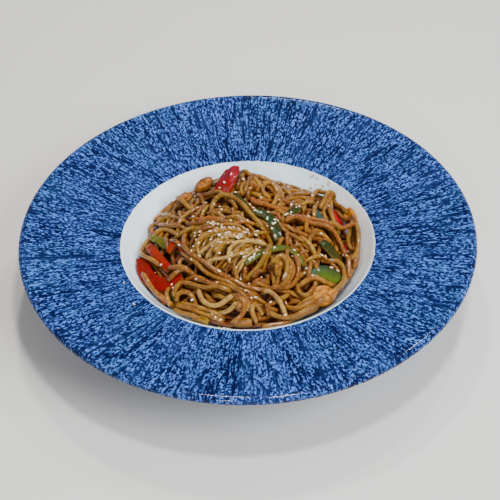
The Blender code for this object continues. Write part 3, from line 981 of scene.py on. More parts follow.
draw = random.Random(11)
low_noodles = lay_noodles(draw, LOW_COUNT, LOW_TRIES, LOW_LEVEL, (35.0, 105.0), (1.4, 1.6))
low_piece = make_noodle_piece("noodles_low", low_noodles, draw)
print("low noodles:", len(low_noodles), "faces:", len(low_piece.data.polygons))

# %% [markdown]
# ## Toppings
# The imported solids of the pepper, the carrot and the chicken give their places and sizes. Each
# gets a search tree, so that finer pieces can be laid exactly on its top. The relief is raised by
# them too, so that the upper noodles cross over them and not through them.

# %% Toppings in the relief
topping_names = sorted(set(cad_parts) - {"bowl", "noodles"})
depsgraph = bpy.context.evaluated_depsgraph_get()
topping_trees = {name: BVHTree.FromObject(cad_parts[name], depsgraph) for name in topping_names}
for name, tree in topping_trees.items():
    relief.raise_to(tree, *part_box(name))
print("toppings:", len(topping_trees))

# %% [markdown]
# ### The nest
# Left of the middle, finer and paler strands lie side by side, swept up in one turn of the
# tongs. Each takes its own share between two guide lines, starts and stops at its own place, and
# shakes a little.

# %% Nest strands
NEST_GUIDES = (
    ((-37, -22), (-33, -11), (-24, -2), (-10, 3)),
    ((-10, -35), (-4, -26), (3, -17), (12, -11)),
)
NEST_STRANDS = 60
NEST_SHAKE = 3.2
NEST_RADII = (0.75, 1.05)
NEST_COLOURS = (PALE, ASH, STRAW, GOLD)


def lay_nest(draw):
    made = []
    for _ in range(NEST_STRANDS):
        share = draw.random()
        points = []
        for first, second in zip(*NEST_GUIDES):
            shake = Vector((draw.gauss(0.0, NEST_SHAKE), draw.gauss(0.0, NEST_SHAKE)))
            points.append(Vector(first).lerp(Vector(second), share) + shake)
        line = smooth_line(points)
        start = int(len(line) * draw.uniform(0.0, 0.25))
        stop = int(len(line) * draw.uniform(0.75, 1.0))
        if stop - start > 4:
            colour = vary(draw.choice(NEST_COLOURS), draw)
            made.append(Noodle(line[start:stop], draw.uniform(*NEST_RADII), colour))
    return made


nest_noodles = lay_nest(draw)
nest_piece = make_noodle_piece("noodles_nest", nest_noodles, draw)
print("nest strands:", len(nest_noodles), "faces:", len(nest_piece.data.polygons))

# %% [markdown]
# ### Noodles on top
# These can be told apart in the picture, so each was traced there: its thickness, its colour and
# the plan points of its middle line. They are laid in the order of the table, low ones first, and
# each one comes to rest on whatever it crosses.

# %% Upper noodles
UPPER = (
    (1.4, BROWN, ((56.7, 32.9), (60.2, 22.2), (63.9, 16.7), (69.3, 16.7))),
    (1.4, GOLD, ((59.3, 40.3), (62.2, 34.5), (65, 29.1))),
    (1.3, BROWN, ((64.2, 20.6), (66.2, 10.9), (66.4, 1.1), (64.4, -10.8))),
    (1.3, GOLD, ((70, 15.6), (68.1, 6), (69.1, -1.6))),
    (1.4, GOLD, ((5.4, -52.8), (0.6, -56.3), (1.9, -60.7), (5, -66))),
    (1.5, AMBER, ((-11, -51.9), (-5.8, -54.8), (-1.8, -59.9), (-3.7, -64.7), (-11.3, -66.5))),
    (1.5, GOLD, ((69.3, 20.1), (72.4, 9.2), (72.8, -0.3), (69.8, -8.1), (65.7, -20.8))),
    (1.5, AMBER, ((65.2, 16.5), (68.3, 8.3), (68.6, -3.1), (65.6, -16.5), (61.7, -27.1))),
    (1.4, BROWN, ((61.5, 3.3), (63.9, -6), (63.1, -16.2), (59.2, -26.8))),
    (1.4, STRAW, ((67.8, 16.6), (62.4, -1.6), (64.7, -12.1), (69.2, -4.4))),
    (1.5, GOLD, ((-42.3, -22.3), (-36.1, -29.8), (-27.5, -37.3), (-18, -44.1), (-8.6, -48.7))),
    (1.4, AMBER, ((-38.5, -34.2), (-30, -35.4), (-22.8, -40.7), (-13.3, -46))),
    (1.4, ROSY, ((21.6, -58.2), (27.6, -55.1), (34.7, -54.4), (39.7, -50.5))),
    (1.5, GOLD, ((23, -53.6), (28.6, -58.3), (35.7, -58.1), (41.9, -53.5))),
    (1.6, AMBER, ((-68, -23.6), (-62.6, -34), (-56, -40.5), (-50, -46), (-45, -48.6))),
    (1.5, GOLD, ((64, 24), (58, 37), (46, 50), (34, 58), (22, 63))),
    (1.5, AMBER, ((-60, 30), (-52, 43), (-40, 54), (-27, 61), (-15, 65))),
    (1.5, BROWN, ((68, 18), (69, 2), (66, -16), (60, -31), (52, -44))),
    (1.5, BROWN, ((-14, 64), (-2, 67), (12, 66), (24, 62))),
    (1.5, AMBER, ((7, -67), (15, -66), (24, -64))),
    (1.5, GOLD, ((22, -64), (31, -61), (40, -56), (46, -51.5))),
    (1.5, STRAW, ((9, -54), (10.5, -58), (15, -61), (22, -63.5), (28, -63), (35, -59), (40, -56))),
    (1.4, GOLD, ((67, -4), (70, -9), (67.6, -22), (64, -26))),
    (1.5, STRAW, ((67, 7), (70, 3), (71, -9), (68, -15), (62, -21))),
    (1.5, GOLD, ((-45, -51.5), (-36, -58), (-28, -62))),
    (1.5, GOLD, ((-55, 17), (-53.5, 26), (-51, 35), (-45, 39))),
    (1.5, STRAW, ((-52, 16), (-50, 23), (-46, 29), (-42, 32))),
    (1.4, BROWN, ((-49, 12), (-46.5, 20), (-42, 23))),
    (1.5, GOLD, ((-42.5, 29), (-35, 21), (-26, 15))),
    (1.5, GOLD, ((24, 31), (32, 37), (42, 41))),
    (1.5, BROWN, ((-41, 21), (-37, 10), (-32.5, 5))),
    (1.4, BROWN, ((-14, -50), (-8, -52.5), (-2, -56))),
    (1.4, BROWN, ((-26, -47), (-22, -51), (-18, -51))),
    (1.4, STRAW, ((-21.5, -46), (-16, -51), (-12, -52))),
    (1.4, BROWN, ((36.5, -21), (40, -26), (42, -32.5))),
    (1.4, GOLD, ((38, -23), (37, -32), (35, -38))),
    (1.3, BROWN, ((25, -2), (26, -12), (28, -18))),
    (1.3, BROWN, ((-36, -11), (-32, -5), (-26, -2), (-17, -1))),
    (1.3, STRAW, ((-37, 3), (-33, 4), (-26, 3), (-17, 2), (-7, 0), (1, -5))),
    (1.2, PALE, ((-25.5, -26), (-21, -20), (-13, -16))),
    (1.2, STRAW, ((-21, -24), (-15, -21), (-8, -18), (-3, -17))),
    (1.2, PALE, ((-30, -27), (-21, -29), (-13, -28), (-5, -25.5), (2, -22))),
    (1.2, STRAW, ((-34, -24), (-27.5, -27.5), (-21, -31))),
    (1.6, GOLD, ((-44, -49), (-36, -52), (-28, -57), (-21, -60), (-14, -62))),
    (1.5, STRAW, ((-42, -46), (-35, -50), (-28, -54), (-21, -57), (-14, -60))),
    (1.5, GOLD, ((-43, -48), (-43, -44), (-40.6, -42), (-36, -43), (-33, -47), (-31, -51))),
    (1.4, PALE, ((-19, -56), (-15, -59), (-10, -59), (-7, -56))),
    (1.6, STRAW, ((3, -55), (1, -59), (2, -63), (5, -67))),
    (1.5, GOLD, ((22, -52), (23, -57), (28, -58), (34, -57.5), (39.5, -53))),
    (1.5, STRAW, ((28, -55), (34, -53), (39, -50))),
    (1.4, GOLD, ((-5, -47), (0, -51), (7, -52.5))),
    (1.5, BROWN, ((-33, -37), (-25.5, -41), (-17.5, -45), (-9.5, -48), (-2, -51), (4, -54))),
    (1.5, GOLD, ((-21.5, -39), (-15.5, -43), (-9.5, -47), (-5.6, -51), (-3, -55), (-0.4, -58))),
    (1.2, STRAW, ((-32, -17), (-28, -12), (-19, -9), (-9, -7.5), (-1, -6))),
    (1.2, PALE, ((-31, -22), (-25, -19), (-17, -16), (-7, -14), (1, -12))),
    (1.4, STRAW, ((-47, -50), (-49, -45), (-49, -40), (-47, -37))),
    (1.3, GOLD, ((-33, -32), (-38, -30), (-41.5, -26), (-42, -22), (-39, -19.5), (-35, -22))),
    (1.5, STRAW, ((-59, 9), (-55.5, 13), (-50.5, 11), (-45, 5.5), (-40, -3))),
    (1.4, GOLD, ((-51, 4), (-50, -4), (-49, -10))),
    (1.4, BROWN, ((-48, -3), (-43, -10), (-38.5, -15))),
    (1.5, STRAW, ((-45, 38), (-37, 28), (-30, 22), (-23, 17))),
    (1.5, GOLD, ((-28.5, 37), (-22, 34), (-15, 28.5), (-11, 24))),
    (1.4, BROWN, ((-31, 41), (-28, 31.5), (-26, 25))),
    (1.5, BROWN, ((-3, 48), (-2, 38), (-4, 32), (-7, 28))),
    (1.5, GOLD, ((0, 45), (2, 37), (1, 30))),
    (1.5, BROWN, ((-2, 42), (6, 44), (13, 43), (18.5, 36.5), (21.5, 30))),
    (1.5, STRAW, ((15, 29), (11, 31), (10, 35), (11, 41), (15.5, 45), (19, 39), (21, 30))),
    (1.6, GOLD, ((23, 42.5), (31, 47.6), (37, 49), (43, 51))),
    (1.5, AMBER, ((6, 22), (11, 25), (14, 23))),
    (1.5, ROSY, ((3, 23), (7, 18), (14, 19), (21, 19), (29, 20))),
    (1.5, STRAW, ((30, -1), (35, -7), (39, -13), (42, -21))),
    (1.4, GOLD, ((28, -3), (30, -11), (35, -18), (37.5, -21))),
    (1.3, STRAW, ((13.5, -23), (11, -30), (8, -36))),
    (1.3, GOLD, ((24, -20.5), (23, -26), (27, -31))),
    (1.4, STRAW, ((14, -36), (15, -42), (16, -46))),
    (1.4, GOLD, ((19, -35.5), (18, -41), (16, -46))),
    (1.5, GOLD, ((46.5, 41), (43, 25), (42, 14))),
    (1.5, STRAW, ((52, 48.6), (58, 45), (63, 42))),
    (1.5, GOLD, ((52, 44), (58, 43), (63, 40))),
    (1.5, GOLD, ((-45, -45), (-43, -39), (-40, -37), (-34, -39), (-25.5, -44), (-17.5, -46.5), (-10, -49))),
    (1.6, PALE, ((-30, -43), (-28, -50), (-22, -54), (-16, -55), (-12, -53), (-8, -52))),
    (1.5, BROWN, ((-48, -35), (-42, -30), (-35, -31.5), (-31, -36))),
    (1.7, AMBER, ((-48, -25), (-44, -28), (-38, -31), (-33, -33))),
    (1.5, STRAW, ((-60, 14), (-64, 7), (-67, -1), (-66, -8), (-60, -14), (-54, -20))),
    (1.3, STRAW, ((-13, 10), (-7, 7), (-1, 3), (3, -3), (6, -7), (8, -11.5))),
    (1.5, GOLD, (
        (-40.6, -16), (-38, -20), (-34, -26), (-25.5, -33.5), (-17, -40), (-8.5, -44), (0.4, -47),
        (7, -48.5)
    )),
    (1.55, BROWN, (
        (-38, 4), (-39, -4), (-38.5, -15), (-35, -22), (-27.5, -29), (-20, -35), (-12, -40), (-3.5, -44),
        (5, -46), (12, -47), (18, -47), (24, -45), (28.5, -40), (30, -34.5), (30, -28), (28, -23.5)
    )),
    (1.6, OLIVE, (
        (-17, 4.5), (-21, 11), (-22.5, 20), (-20, 26), (-15, 27), (-10, 24), (-5, 19), (-0.6, 13),
        (3.5, 7), (8.6, 0), (12, -5.6), (14, -12), (14, -19), (12, -26), (8, -32), (3, -36.5), (-2.4, -40)
    )),
    (1.6, AMBER, ((17, -32), (21, -28), (26, -30), (27, -35), (24, -42), (21, -46))),
    (1.5, GOLD, ((29, -42), (29, -47.5), (33, -51), (37, -48), (40, -43), (40, -38), (39, -34))),
    (1.6, STRAW, ((30, -43), (37, -39), (44, -40), (53, -38))),
    (1.5, PALE, ((8, -48.5), (14, -49.5), (18, -53), (20, -58), (22, -63))),
    (1.6, STRAW, (
        (44, -19), (49, -21), (55, -21), (58.6, -23), (58, -30), (57, -37), (52.6, -44), (49, -47)
    )),
    (1.5, ROSY, ((24, 7), (34, 10), (42, 10.6), (50, 9), (58, 6), (66, 7.7), (69.8, 4))),
    (1.6, ROSY, (
        (23, 4.6), (29.5, 7), (37, 7.4), (43, 7.5), (50.5, 5.4), (55.6, 1), (59, -7), (61, -16),
        (61, -25.5), (61, -33)
    )),
    (1.5, STRAW, ((48.6, 32), (49.5, 18), (53.5, 9), (59, 5))),
    (1.6, GOLD, ((41.6, 34), (43, 44), (46, 50), (50, 50), (53, 44), (54, 34), (53, 24), (55.5, 14.6))),
    (1.6, STRAW, ((-4, 44), (-2, 52), (3, 52), (10, 50), (17, 47), (21, 43), (23, 34))),
    (1.2, PALE, ((-11, -31), (-12, -25), (-8, -20), (-1, -17), (8, -16.5), (12, -18))),
    (1.2, PALE, ((-7, -32), (-2, -28), (4, -22.5), (10, -20))),
    (1.6, GOLD, (
        (16.9, -42.1), (16.5, -35.9), (19.7, -30.2), (24.4, -30.8), (25.8, -36.3), (22.8, -43.2),
        (17.9, -47.7)
    )),
    (1.4, STRAW, ((14.1, -36.1), (17.8, -32.4), (22.5, -33.3), (23.5, -39.7), (19.7, -45.4))),
    (1.6, STRAW, ((46.8, 30.1), (56.4, 45.5), (63.1, 41.8))),
    (1.4, GOLD, ((48.5, 26.8), (57.5, 42.8), (62.8, 40.4))),
)


def lay_upper_noodles(draw):
    made = []
    for radius, colour, points in UPPER:
        made.append(Noodle(smooth_line(points), radius, vary(colour, draw, TRACED_VARY)))
    return made


upper_noodles = lay_upper_noodles(draw)
upper_piece = make_noodle_piece("noodles_upper", upper_noodles, draw)
print("upper noodles:", len(upper_noodles), "faces:", len(upper_piece.data.polygons))

# %% [markdown]
# ### Noodles between
# The same walk as for the low noodles now fills what the traced ones left open. The toppings
# stand in the relief, so a walk over one of them scores badly and isn't chosen.

# %% Filling noodles
FILL_LEVEL = 0.3
FILL_COUNT = 200
FILL_TRIES = 40

filling_noodles = lay_noodles(draw, FILL_COUNT, FILL_TRIES, FILL_LEVEL, (7.0, 40.0), (1.25, 1.5))
filling_piece = make_noodle_piece("noodles_filling", filling_noodles, draw)
print("filling noodles:", len(filling_noodles), "faces:", len(filling_piece.data.polygons))

# %% [markdown]
# ## Pepper and carrot strips
# A cut strip has a glossy skin above and paler flesh at its cut edges. Each was traced like the
# noodles: its width, its thickness, its skin's colour at the start and at the end, and the plan
# points of its middle line. Most change colour along their length. The broad one at the front
# right changes across its width instead, from a dark teal above, which is a painted reflection in
# its glossy hollow, to yellow green nearest the diner.

# %% Strip table
STRIPS = {
    "red_pepper_crest": (
        12.0, 2.4, (124, 6, 1), (146, 9, 40), ((-16.5, 28), (-14.5, 35), (-11.5, 43), (-8.5, 53))
    ),
    "red_pepper_left": (
        10.0, 2.4, (116, 5, 2), (136, 8, 2), ((-65, -8), (-64, -19), (-58.5, -29), (-50, -34.5), (-40, -34))
    ),
    "red_pepper_left_upper": (
        5.5, 2.2, (146, 36, 4), (132, 14, 3), ((-62, 1), (-58, -8), (-53, -17), (-47, -26))
    ),
    "red_pepper_curl": (
        4.0, 2.0, (150, 34, 5), (150, 34, 5), ((-49, -12), (-45, -8.5), (-41, -11), (-39, -16.5))
    ),
    "red_pepper_foot": (4.0, 2.0, (146, 18, 6), (146, 18, 6), ((-53.5, -41.5), (-49, -47))),
    "red_pepper_right": (5.0, 2.0, (150, 6, 18), (150, 6, 18), ((55, 30.5), (56.5, 21), (60.5, 11.5))),
    "red_pepper_right_low": (4.5, 2.0, (152, 8, 24), (152, 8, 24), ((62, -1.5), (63, -9))),
    "green_pepper_crest": (5.5, 2.2, (30, 50, 8), (34, 52, 8), ((-8.5, 28.5), (-5.5, 22.5), (-0.5, 15.5))),
    "green_pepper_middle": (
        6.5, 2.2, (26, 48, 6), (26, 44, 6), ((4, 12), (11.5, 8.5), (16.5, -1), (18.5, -13))
    ),
    "green_pepper_rear": (6.0, 2.0, (30, 48, 8), (40, 58, 10), ((25, 7.5), (32, 18.5))),
    "green_pepper_arch": (
        3.2, 2.2, (62, 74, 12), (74, 88, 14),
        ((-2, -32.5), (7, -26.5), (14.5, -22.5), (22.5, -20.5), (29.5, -24), (33.5, -30))
    ),
    # Its dark teal first colour is a painted reflection in the strip's glossy hollow.
    "green_pepper_front": (
        10.5, 2.4, (8, 44, 34), (78, 96, 16), ((39, -37), (43, -33), (48.5, -32), (56, -31))
    ),
    "green_pepper_side": (6.5, 2.2, (34, 42, 8), (50, 56, 12), ((45.5, -7.5), (50.5, -12.5), (55, -19))),
    "green_pepper_left": (4.5, 2.0, (98, 98, 8), (62, 74, 10), ((-60.5, 8.5), (-54.5, 0.5), (-50, -7))),
    "green_pepper_chip": (4.0, 2.0, (70, 92, 14), (70, 92, 14), ((-46, -40.5), (-43, -45.5))),
    "green_pepper_right": (
        4.0, 2.0, (26, 66, 62), (86, 106, 22), ((43.5, 22.5), (46.5, 13), (51.5, 6), (57, 3.5))
    ),
    "carrot_shred": (2.6, 1.6, (168, 66, 8), (168, 66, 8), ((3, 23.5), (11.5, 19.5))),
    "carrot_strip_front": (4.0, 2.2, (140, 104, 14), (140, 104, 14), ((-33, -59.5), (-24, -63))),
    "carrot_strip_mid": (4.0, 2.2, (136, 88, 16), (136, 88, 16), ((-9, -65.5), (1.5, -65.8))),
}
# Strips coloured across their width, where the dark teal side is a painted reflection.
PAINTED_REFLECTION_ACROSS = ("green_pepper_front",)
print("strips in the table:", len(STRIPS))

# %% [markdown]
# ### Skin and flesh
# Both start from the strip's own colour on its vertices. Frying has left darker spots and a thin
# film of sauce. The flesh is the same material with some pale flesh colour mixed in.

# %% Strip materials
SPOT_BROWN = linear(40, 16, 6)
FLESH = linear(140, 116, 44)


def make_strip_material(name, flesh_share):
    """Skin, or flesh where some of the flesh's colour is mixed in."""
    made, tree, shader, place = new_material(name)
    skin = on_mesh(tree, "skin")[0]
    film, film_height = sauce(tree, place, 0.3)
    dark = mix(tree, 0.55, skin, SPOT_BROWN)
    colour = mix(tree, patches(tree, place, 260.0, 0.35, 0.68, 0.5), skin, dark)
    colour = mix(tree, flesh_share, colour, FLESH)
    fill(tree, shader, {
        "Base Color": mix(tree, film, colour, SAUCE_BROWN),
        "Roughness": stretch(tree, grain(tree, place, 500.0), 0.3, 0.7, 0.12, 0.34),
        "Coat Weight": 0.3,
        "Coat Roughness": 0.08,
        "Specular IOR Level": 0.1,
        "Normal": bump(tree, film_height, 0.35, 0.3),
    })
    return made


strip_skin = make_strip_material("pepper_skin", 0.0)
strip_flesh = make_strip_material("pepper_flesh", 0.35)
print("strip materials:", strip_skin.name, strip_flesh.name)

# %% [markdown]
# ### Laying and cutting the strips
# A fine sheet is laid along each middle line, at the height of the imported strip's top, and pulled
# down to give it its thickness. A knife never cuts quite straight and a fried strip isn't quite
# flat, so its edges wander a little and its top has a slow ripple.

# %% Strips
STRIP_STEP = 0.8
STRIP_ACROSS = 10
STRIP_TAPER = 0.25
RAGGED = 0.07
RIPPLE = 0.35
INWARD_STEP = 0.04


def top_of(tree, x, y):
    """Height of the highest point of a solid over a point of the plan, or None beside it."""
    hit = look_down(tree, x, y)[0]
    return hit.z / MM if hit else None


def strip_spot(points, width, share, across):
    """Plan point of a strip at a share of its length and of its half width."""
    middle = catmull(points, share)
    ahead = catmull(points, min(1.0, share + 0.02)) - catmull(points, max(0.0, share - 0.02))
    side = Vector((-ahead.y, ahead.x)).normalized()
    taper = 1.0 - STRIP_TAPER * abs(2.0 * share - 1.0) ** 3
    return middle + side * across * 0.5 * width * taper


def strip_height(tree, points, width, share, across):
    """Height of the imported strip's top there, looked for further inwards until it is met."""
    inward = 1.0
    height = None
    while height is None:
        inward -= INWARD_STEP
        inner = strip_spot(points, width, 0.5 + (share - 0.5) * inward, across * inward)
        height = top_of(tree, inner.x, inner.y)
    return height


def pull_down(bm, depth):
    """Gives a sheet its thickness; everything but its top gets the second material."""
    top = bm.faces[:]
    pulled = bmesh.ops.extrude_face_region(bm, geom=top, use_keep_orig=True)["geom"]
    for vert in pulled:
        if isinstance(vert, bmesh.types.BMVert):
            vert.co.z -= depth
    top = set(top)
    for face in bm.faces:
        if face not in top:
            face.material_index = 1


def make_strip(name):
    width, thick, first_skin, last_skin, points = STRIPS[name]
    first_skin, last_skin = Vector(linear(*first_skin)), Vector(linear(*last_skin))
    length = sum((Vector(b) - Vector(a)).length for a, b in zip(points, points[1:]))
    bm = bmesh.new()
    skin_layer = bm.verts.layers.float_color.new("skin")
    cells = max(10, round(length / STRIP_STEP))
    verts = bmesh.ops.create_grid(bm, x_segments=cells, y_segments=STRIP_ACROSS, size=0.5)["verts"]
    for vert in verts:
        share = min(max(vert.co.x + 0.5, 0.0), 1.0)
        across = 2.0 * vert.co.y
        edge_place = Vector((share * length * 0.25, math.copysign(3.0, across), width))
        ragged = 1.0 + RAGGED * noise.noise(edge_place)
        spot = strip_spot(points, width * ragged, share, across)
        height = strip_height(topping_trees[name], points, width, share, across)
        ripple = RIPPLE * noise.noise(Vector((spot.x, spot.y, 0.0)) * 0.35)
        vert.co = Vector((spot.x, spot.y, height + ripple - RIPPLE)) * MM
        # Across the front green strip, the teal side is a painted reflection; the others change along their
        # length.
        change = 0.5 - 0.5 * across if name in PAINTED_REFLECTION_ACROSS else share**2
        vert[skin_layer] = first_skin.lerp(last_skin, change)
    pull_down(bm, thick * MM)
    return finish_piece(bm, "cut_" + name, [strip_skin, strip_flesh], [name])


strips = [make_strip(name) for name in STRIPS]
print("strips:", len(strips), "faces:", sum(len(strip.data.polygons) for strip in strips))

# %% [markdown]
# ## Chicken
# A chunk of thigh meat is pale inside, browned where it touched the pan, and brushed with sauce.
# Two noises of different sizes place the pale parts and the browned ones, over a crust colour
# that each chunk has of its own.

# %% Chicken material
CHICKEN_PALE = linear(176, 120, 40)
SEARED = linear(104, 46, 6)


def make_chicken_material():
    made, tree, shader, place = new_material("chicken")
    film, _ = sauce(tree, place, 0.35)
    # The crust colour on the vertices also carries painted light on the ridges and painted shade in the
    # grooves.
    crust = on_mesh(tree, "skin")[0]
    colour = mix(tree, patches(tree, place, 170.0, 0.45, 0.62, 0.6), crust, CHICKEN_PALE)
    colour = mix(tree, patches(tree, place, 260.0, 0.5, 0.7, 0.6), colour, SEARED)
    fill(tree, shader, {
        "Base Color": mix(tree, film, colour, SAUCE_BROWN),
        "Roughness": stretch(tree, grain(tree, place, 400.0), 0.3, 0.7, 0.22, 0.48),
        "Coat Weight": 0.35,
        "Coat Roughness": 0.1,
        "Specular IOR Level": 0.25,
        "Normal": bump(tree, grain(tree, place, 1100.0, 4.0), 0.5, 0.5),
    })
    return made


chicken_material = make_chicken_material()
print("chicken material nodes:", len(chicken_material.node_tree.nodes))

# %% [markdown]
# ### Torn chunks
# Meat tears along its fibres. The imported lump is divided finely and rounded, and then roughened
# with noise that is drawn out along the fibres. The same noise lightens the ridges and darkens the
# grooves between them, as painted light and painted shade.

# %% Chicken chunks
# The crust's colour, the turn of the fibres in degrees, and how rough the chunk is.
CHUNKS = {
    "chicken_right_front": ((176, 106, 14), 25.0, 0.8),
    "chicken_middle": ((140, 90, 20), 80.0, 0.6),
    "chicken_back": ((134, 74, 30), 20.0, 0.5),
    "chicken_left_back": ((146, 84, 34), 40.0, 0.5),
    "chicken_right_back": ((182, 112, 20), -70.0, 0.4),
    "chicken_front": ((146, 98, 46), 10.0, 0.4),
}
DIVISIONS = 3
ROUNDING = {"factor": 0.4, "use_axis_x": True, "use_axis_y": True, "use_axis_z": True}


def divided_lump(name):
    """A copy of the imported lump, merged, divided and rounded."""
    bm = bmesh.new()
    bm.from_mesh(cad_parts[name].data)
    bmesh.ops.remove_doubles(bm, verts=bm.verts[:], dist=0.01 * MM)
    bm.verts.layers.float_color.new("skin")
    for _ in range(DIVISIONS):
        bmesh.ops.subdivide_edges(bm, edges=bm.edges[:], cuts=1, use_grid_fill=True)
        bmesh.ops.smooth_vert(bm, verts=bm.verts[:], **ROUNDING)
    bm.normal_update()
    return bm


def make_chunk(name):
    crust, turn, roughness = CHUNKS[name]
    bm = divided_lump(name)
    crust_and_shade_layer = bm.verts.layers.float_color["skin"]
    fibre = Matrix.Rotation(-math.radians(turn), 3, "Z")
    for vert in bm.verts:
        x, y, z = fibre @ (vert.co / MM)
        lumps = 0.8 * noise.noise(Vector((x, y, z)) * 0.16)
        folds = 0.9 - 1.6 * abs(noise.noise(Vector((x * 0.16, y * 0.5, z * 0.5))))
        ridge = noise.noise(Vector((x * 0.3, y * 1.5, z * 1.5)))
        vert.co += vert.normal * roughness * (lumps + folds + 0.6 * ridge) * MM
        # Painted light and shade: the crust is lightened on the ridges and darkened in the grooves.
        vert[crust_and_shade_layer] = Vector(linear(*crust)) * (1.0 + 1.2 * roughness * ridge)
    return finish_piece(bm, "torn_" + name, [chicken_material], [name])


chunks = [make_chunk(name) for name in CHUNKS]
print("chunks:", len(chunks), "faces:", sum(len(chunk.data.polygons) for chunk in chunks))

# %% [markdown]
# ## Sesame
# Toasted sesame seeds stick where they fall, flat on whatever is there. Each is a small ball,
# flattened and drawn out to a drop. It is dropped from above at its own place in plan, and takes
# the slope it lands on and a turn of its own.

# %% Sesame seeds
SEED_SPOTS = (
    (-38, 39), (-26, 27), (-17, 35), (-9, 31), (-10, 29), (-7, 29), (2, 19), (4, 17), (3, 12), (5, 11),
    (7, 27), (5, 27), (13, 10), (17, 3), (17, 0), (19, 4), (28, 21), (29, 19), (31, 18), (33, 23),
    (37, 21), (24, 9), (27, 9), (15, -5), (16, -1), (42, 16), (40, 14), (-31, 15), (-30, 14), (-16, 15),
    (-15, 12), (-24, 3), (-22, 1), (-20, 0), (-18, -1), (-32, -12), (-31, -14), (-33, -14), (0, -1),
    (-1, -7), (6, -7), (16, -20), (16, -22), (27, -19), (29, -19), (28, -22), (31, -23), (5, -25),
    (4, -27), (1, -30), (2, -29), (30, -25), (44, -18), (45, -19), (47, -20), (35, -29), (38, -39),
    (54, -28), (50, -28), (21, -44), (22, -43), (4, -52), (21, -62), (-29, -26), (-31, -39), (-18, -36),
    (-17, -37), (-12, -36), (-7, -34), (-4, -26), (-46, -37), (-45, -39), (-57, -23), (-53, -21),
    (-34, -21), (62, -9), (60, -19), (-17, -62), (-18, -63), (-15, -65), (-13, -66), (-12, -66),
    (-22, -59), (-20, -61), (-74.2, -39.1), (-67.1, -57.8)
)
NEST_SEEDS = 90
LOOSE_SEEDS = 70
LOOSE_R = 62.0
NEST_MIDDLE = (-12.0, -12.0)
NEST_REACH = (20.0, 14.0)
SEED_SIZE = (0.62, 0.88)
SEED_ROOM = 1.3
SEED_LIFT = 0.3
SEED_DARK = linear(184, 142, 90)
SEED_LIGHT = linear(244, 232, 206)


def make_seed_material():
    made, tree, shader, place = new_material("sesame")
    toast = stretch(tree, grain(tree, place, 260.0, 2.0), 0.35, 0.65)
    fill(tree, shader, {
        "Base Color": mix(tree, toast, SEED_DARK, SEED_LIGHT),
        "Roughness": 0.38,
        "Normal": bump(tree, grain(tree, place, 1500.0), 0.2, 0.2),
    })
    return made


def food_trees():
    """Search trees of everything that a seed may land on."""
    graph = bpy.context.evaluated_depsgraph_get()
    pieces = [bowl, low_piece, upper_piece, nest_piece, filling_piece] + strips + chunks
    return [BVHTree.FromObject(piece, graph) for piece in pieces]


def landing(trees, x, y):
    """Where something dropped over a point of the plan lands, and the slope there."""
    hits = [look_down(tree, x, y) for tree in trees]
    return max((hit for hit in hits if hit[0]), key=lambda hit: hit[0].z)


def seed_spots(draw):
    """The traced seeds, more in the nest and a few anywhere on the heap."""
    spots = list(SEED_SPOTS)
    for _ in range(NEST_SEEDS):
        spot = [middle + reach * draw.gauss(0.0, 0.5) for middle, reach in zip(NEST_MIDDLE, NEST_REACH)]
        spots.append(spot)
    for _ in range(LOOSE_SEEDS):
        out = LOOSE_R * math.sqrt(draw.random())
        around = draw.uniform(0.0, math.tau)
        spots.append((out * math.cos(around), out * math.sin(around)))
    return spots


def seed_place(where, normal, draw):
    """A seed's size, and the matrix that lays it flat on the slope with a turn of its own."""
    where.z = min(where.z, (CEILING - SEED_ROOM) * MM)
    normal = normal if normal.z >= 0.0 else -normal
    normal = (normal + Vector((0.0, 0.0, 0.5))).normalized()
    size = draw.uniform(*SEED_SIZE)
    spin = Matrix.Rotation(draw.uniform(0.0, math.tau), 4, "Z")
    lean = Vector((0.0, 0.0, 1.0)).rotation_difference(normal).to_matrix().to_4x4()
    return size, Matrix.Translation(where + normal * SEED_LIFT * MM) @ lean @ spin


def make_seeds(draw):
    trees = food_trees()
    bm = bmesh.new()
    for x, y in seed_spots(draw):
        where, normal = landing(trees, x, y)
        size, place = seed_place(where, normal, draw)
        verts = bmesh.ops.create_uvsphere(bm, u_segments=8, v_segments=6, radius=1.0)["verts"]
        for vert in verts:
            wide = 0.82 - 0.22 * vert.co.x
            seed = Vector((1.4 * vert.co.x, wide * vert.co.y, 0.45 * vert.co.z)) * size * MM
            vert.co = place @ seed
    return finish_piece(bm, "sesame_seeds", [make_seed_material()])


seeds = make_seeds(draw)
print("seed faces:", len(seeds.data.polygons))

# %% [markdown]
# ## Floor and light
# The bowl stands on a plain pale floor. A broad, slightly cool lamp from the right front gives
# most of the light. Its reflection would lie as a white haze on the dark glaze and the sauce, so
# it is hidden from mirrors. Four small lamps give the clear little lights on the oil and the lip
# instead, and a dim, even sky fills the shadows.

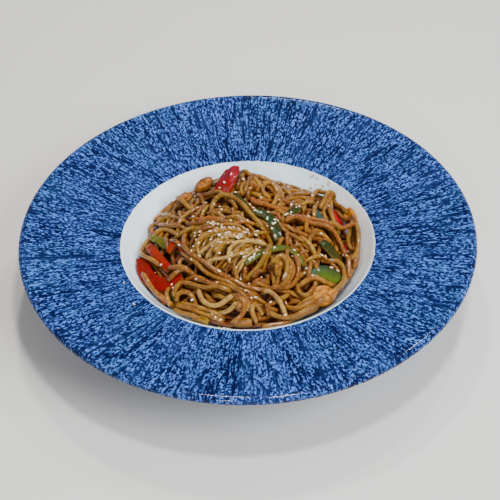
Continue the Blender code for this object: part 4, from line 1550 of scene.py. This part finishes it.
# %% Floor and lights
FLOOR_SIZE = 3.0
FLOOR_GREY = linear(214, 212, 208)
FLOOR_PALE = linear(222, 220, 217)
SKY_STRENGTH = 0.35
LAMP_AIM = Vector((0.0, 0.0, 0.03))
COOL = (0.94, 0.98, 1.0)
WARM = (1.0, 0.98, 0.95)
PLAIN = (1.0, 1.0, 1.0)
# Each lamp's name, place, width, power and colour, and whether mirrors show it.
LAMPS = (
    ("key", (0.74, -0.64, 0.84), 0.7, 18.0, COOL, False),
    ("top", (0.14, -0.10, 1.15), 0.14, 7.2, WARM, True),
    ("front", (-0.16, -0.95, 0.62), 0.10, 3.4, PLAIN, True),
    ("back_left", (-0.05, 0.50, 0.95), 0.09, 4.2, WARM, True),
    ("back_right", (0.36, 0.56, 0.95), 0.07, 2.6, WARM, True),
)


def make_floor():
    bm = bmesh.new()
    bmesh.ops.create_grid(bm, x_segments=8, y_segments=8, size=FLOOR_SIZE)
    mesh = bpy.data.meshes.new("floor")
    bm.to_mesh(mesh)
    bm.free()
    made, tree, shader, place = new_material("pale_floor")
    colour = mix(tree, grain(tree, place, 6.0, 2.0), FLOOR_GREY, FLOOR_PALE)
    fill(tree, shader, {"Base Color": colour, "Roughness": 0.7})
    mesh.materials.append(made)
    floor = bpy.data.objects.new("floor", mesh)
    bpy.context.scene.collection.objects.link(floor)


def make_sky():
    world = bpy.data.worlds.new("studio")
    world.use_nodes = True
    backdrop = world.node_tree.nodes["Background"]
    backdrop.inputs["Color"].default_value = WARM + (1.0,)
    backdrop.inputs["Strength"].default_value = SKY_STRENGTH
    bpy.context.scene.world = world


def add_lamp(name, place, width, power, colour, mirrored):
    data = bpy.data.lights.new(name, "AREA")
    data.shape = "DISK"
    data.size = width
    data.energy = power
    data.color = colour
    lamp = bpy.data.objects.new(name, data)
    lamp.visible_glossy = mirrored
    lamp.location = place
    lamp.rotation_euler = (LAMP_AIM - Vector(place)).to_track_quat("-Z", "Y").to_euler()
    bpy.context.scene.collection.objects.link(lamp)


make_floor()
make_sky()
for lamp in LAMPS:
    add_lamp(*lamp)
print("lamps:", [lamp[0] for lamp in LAMPS])
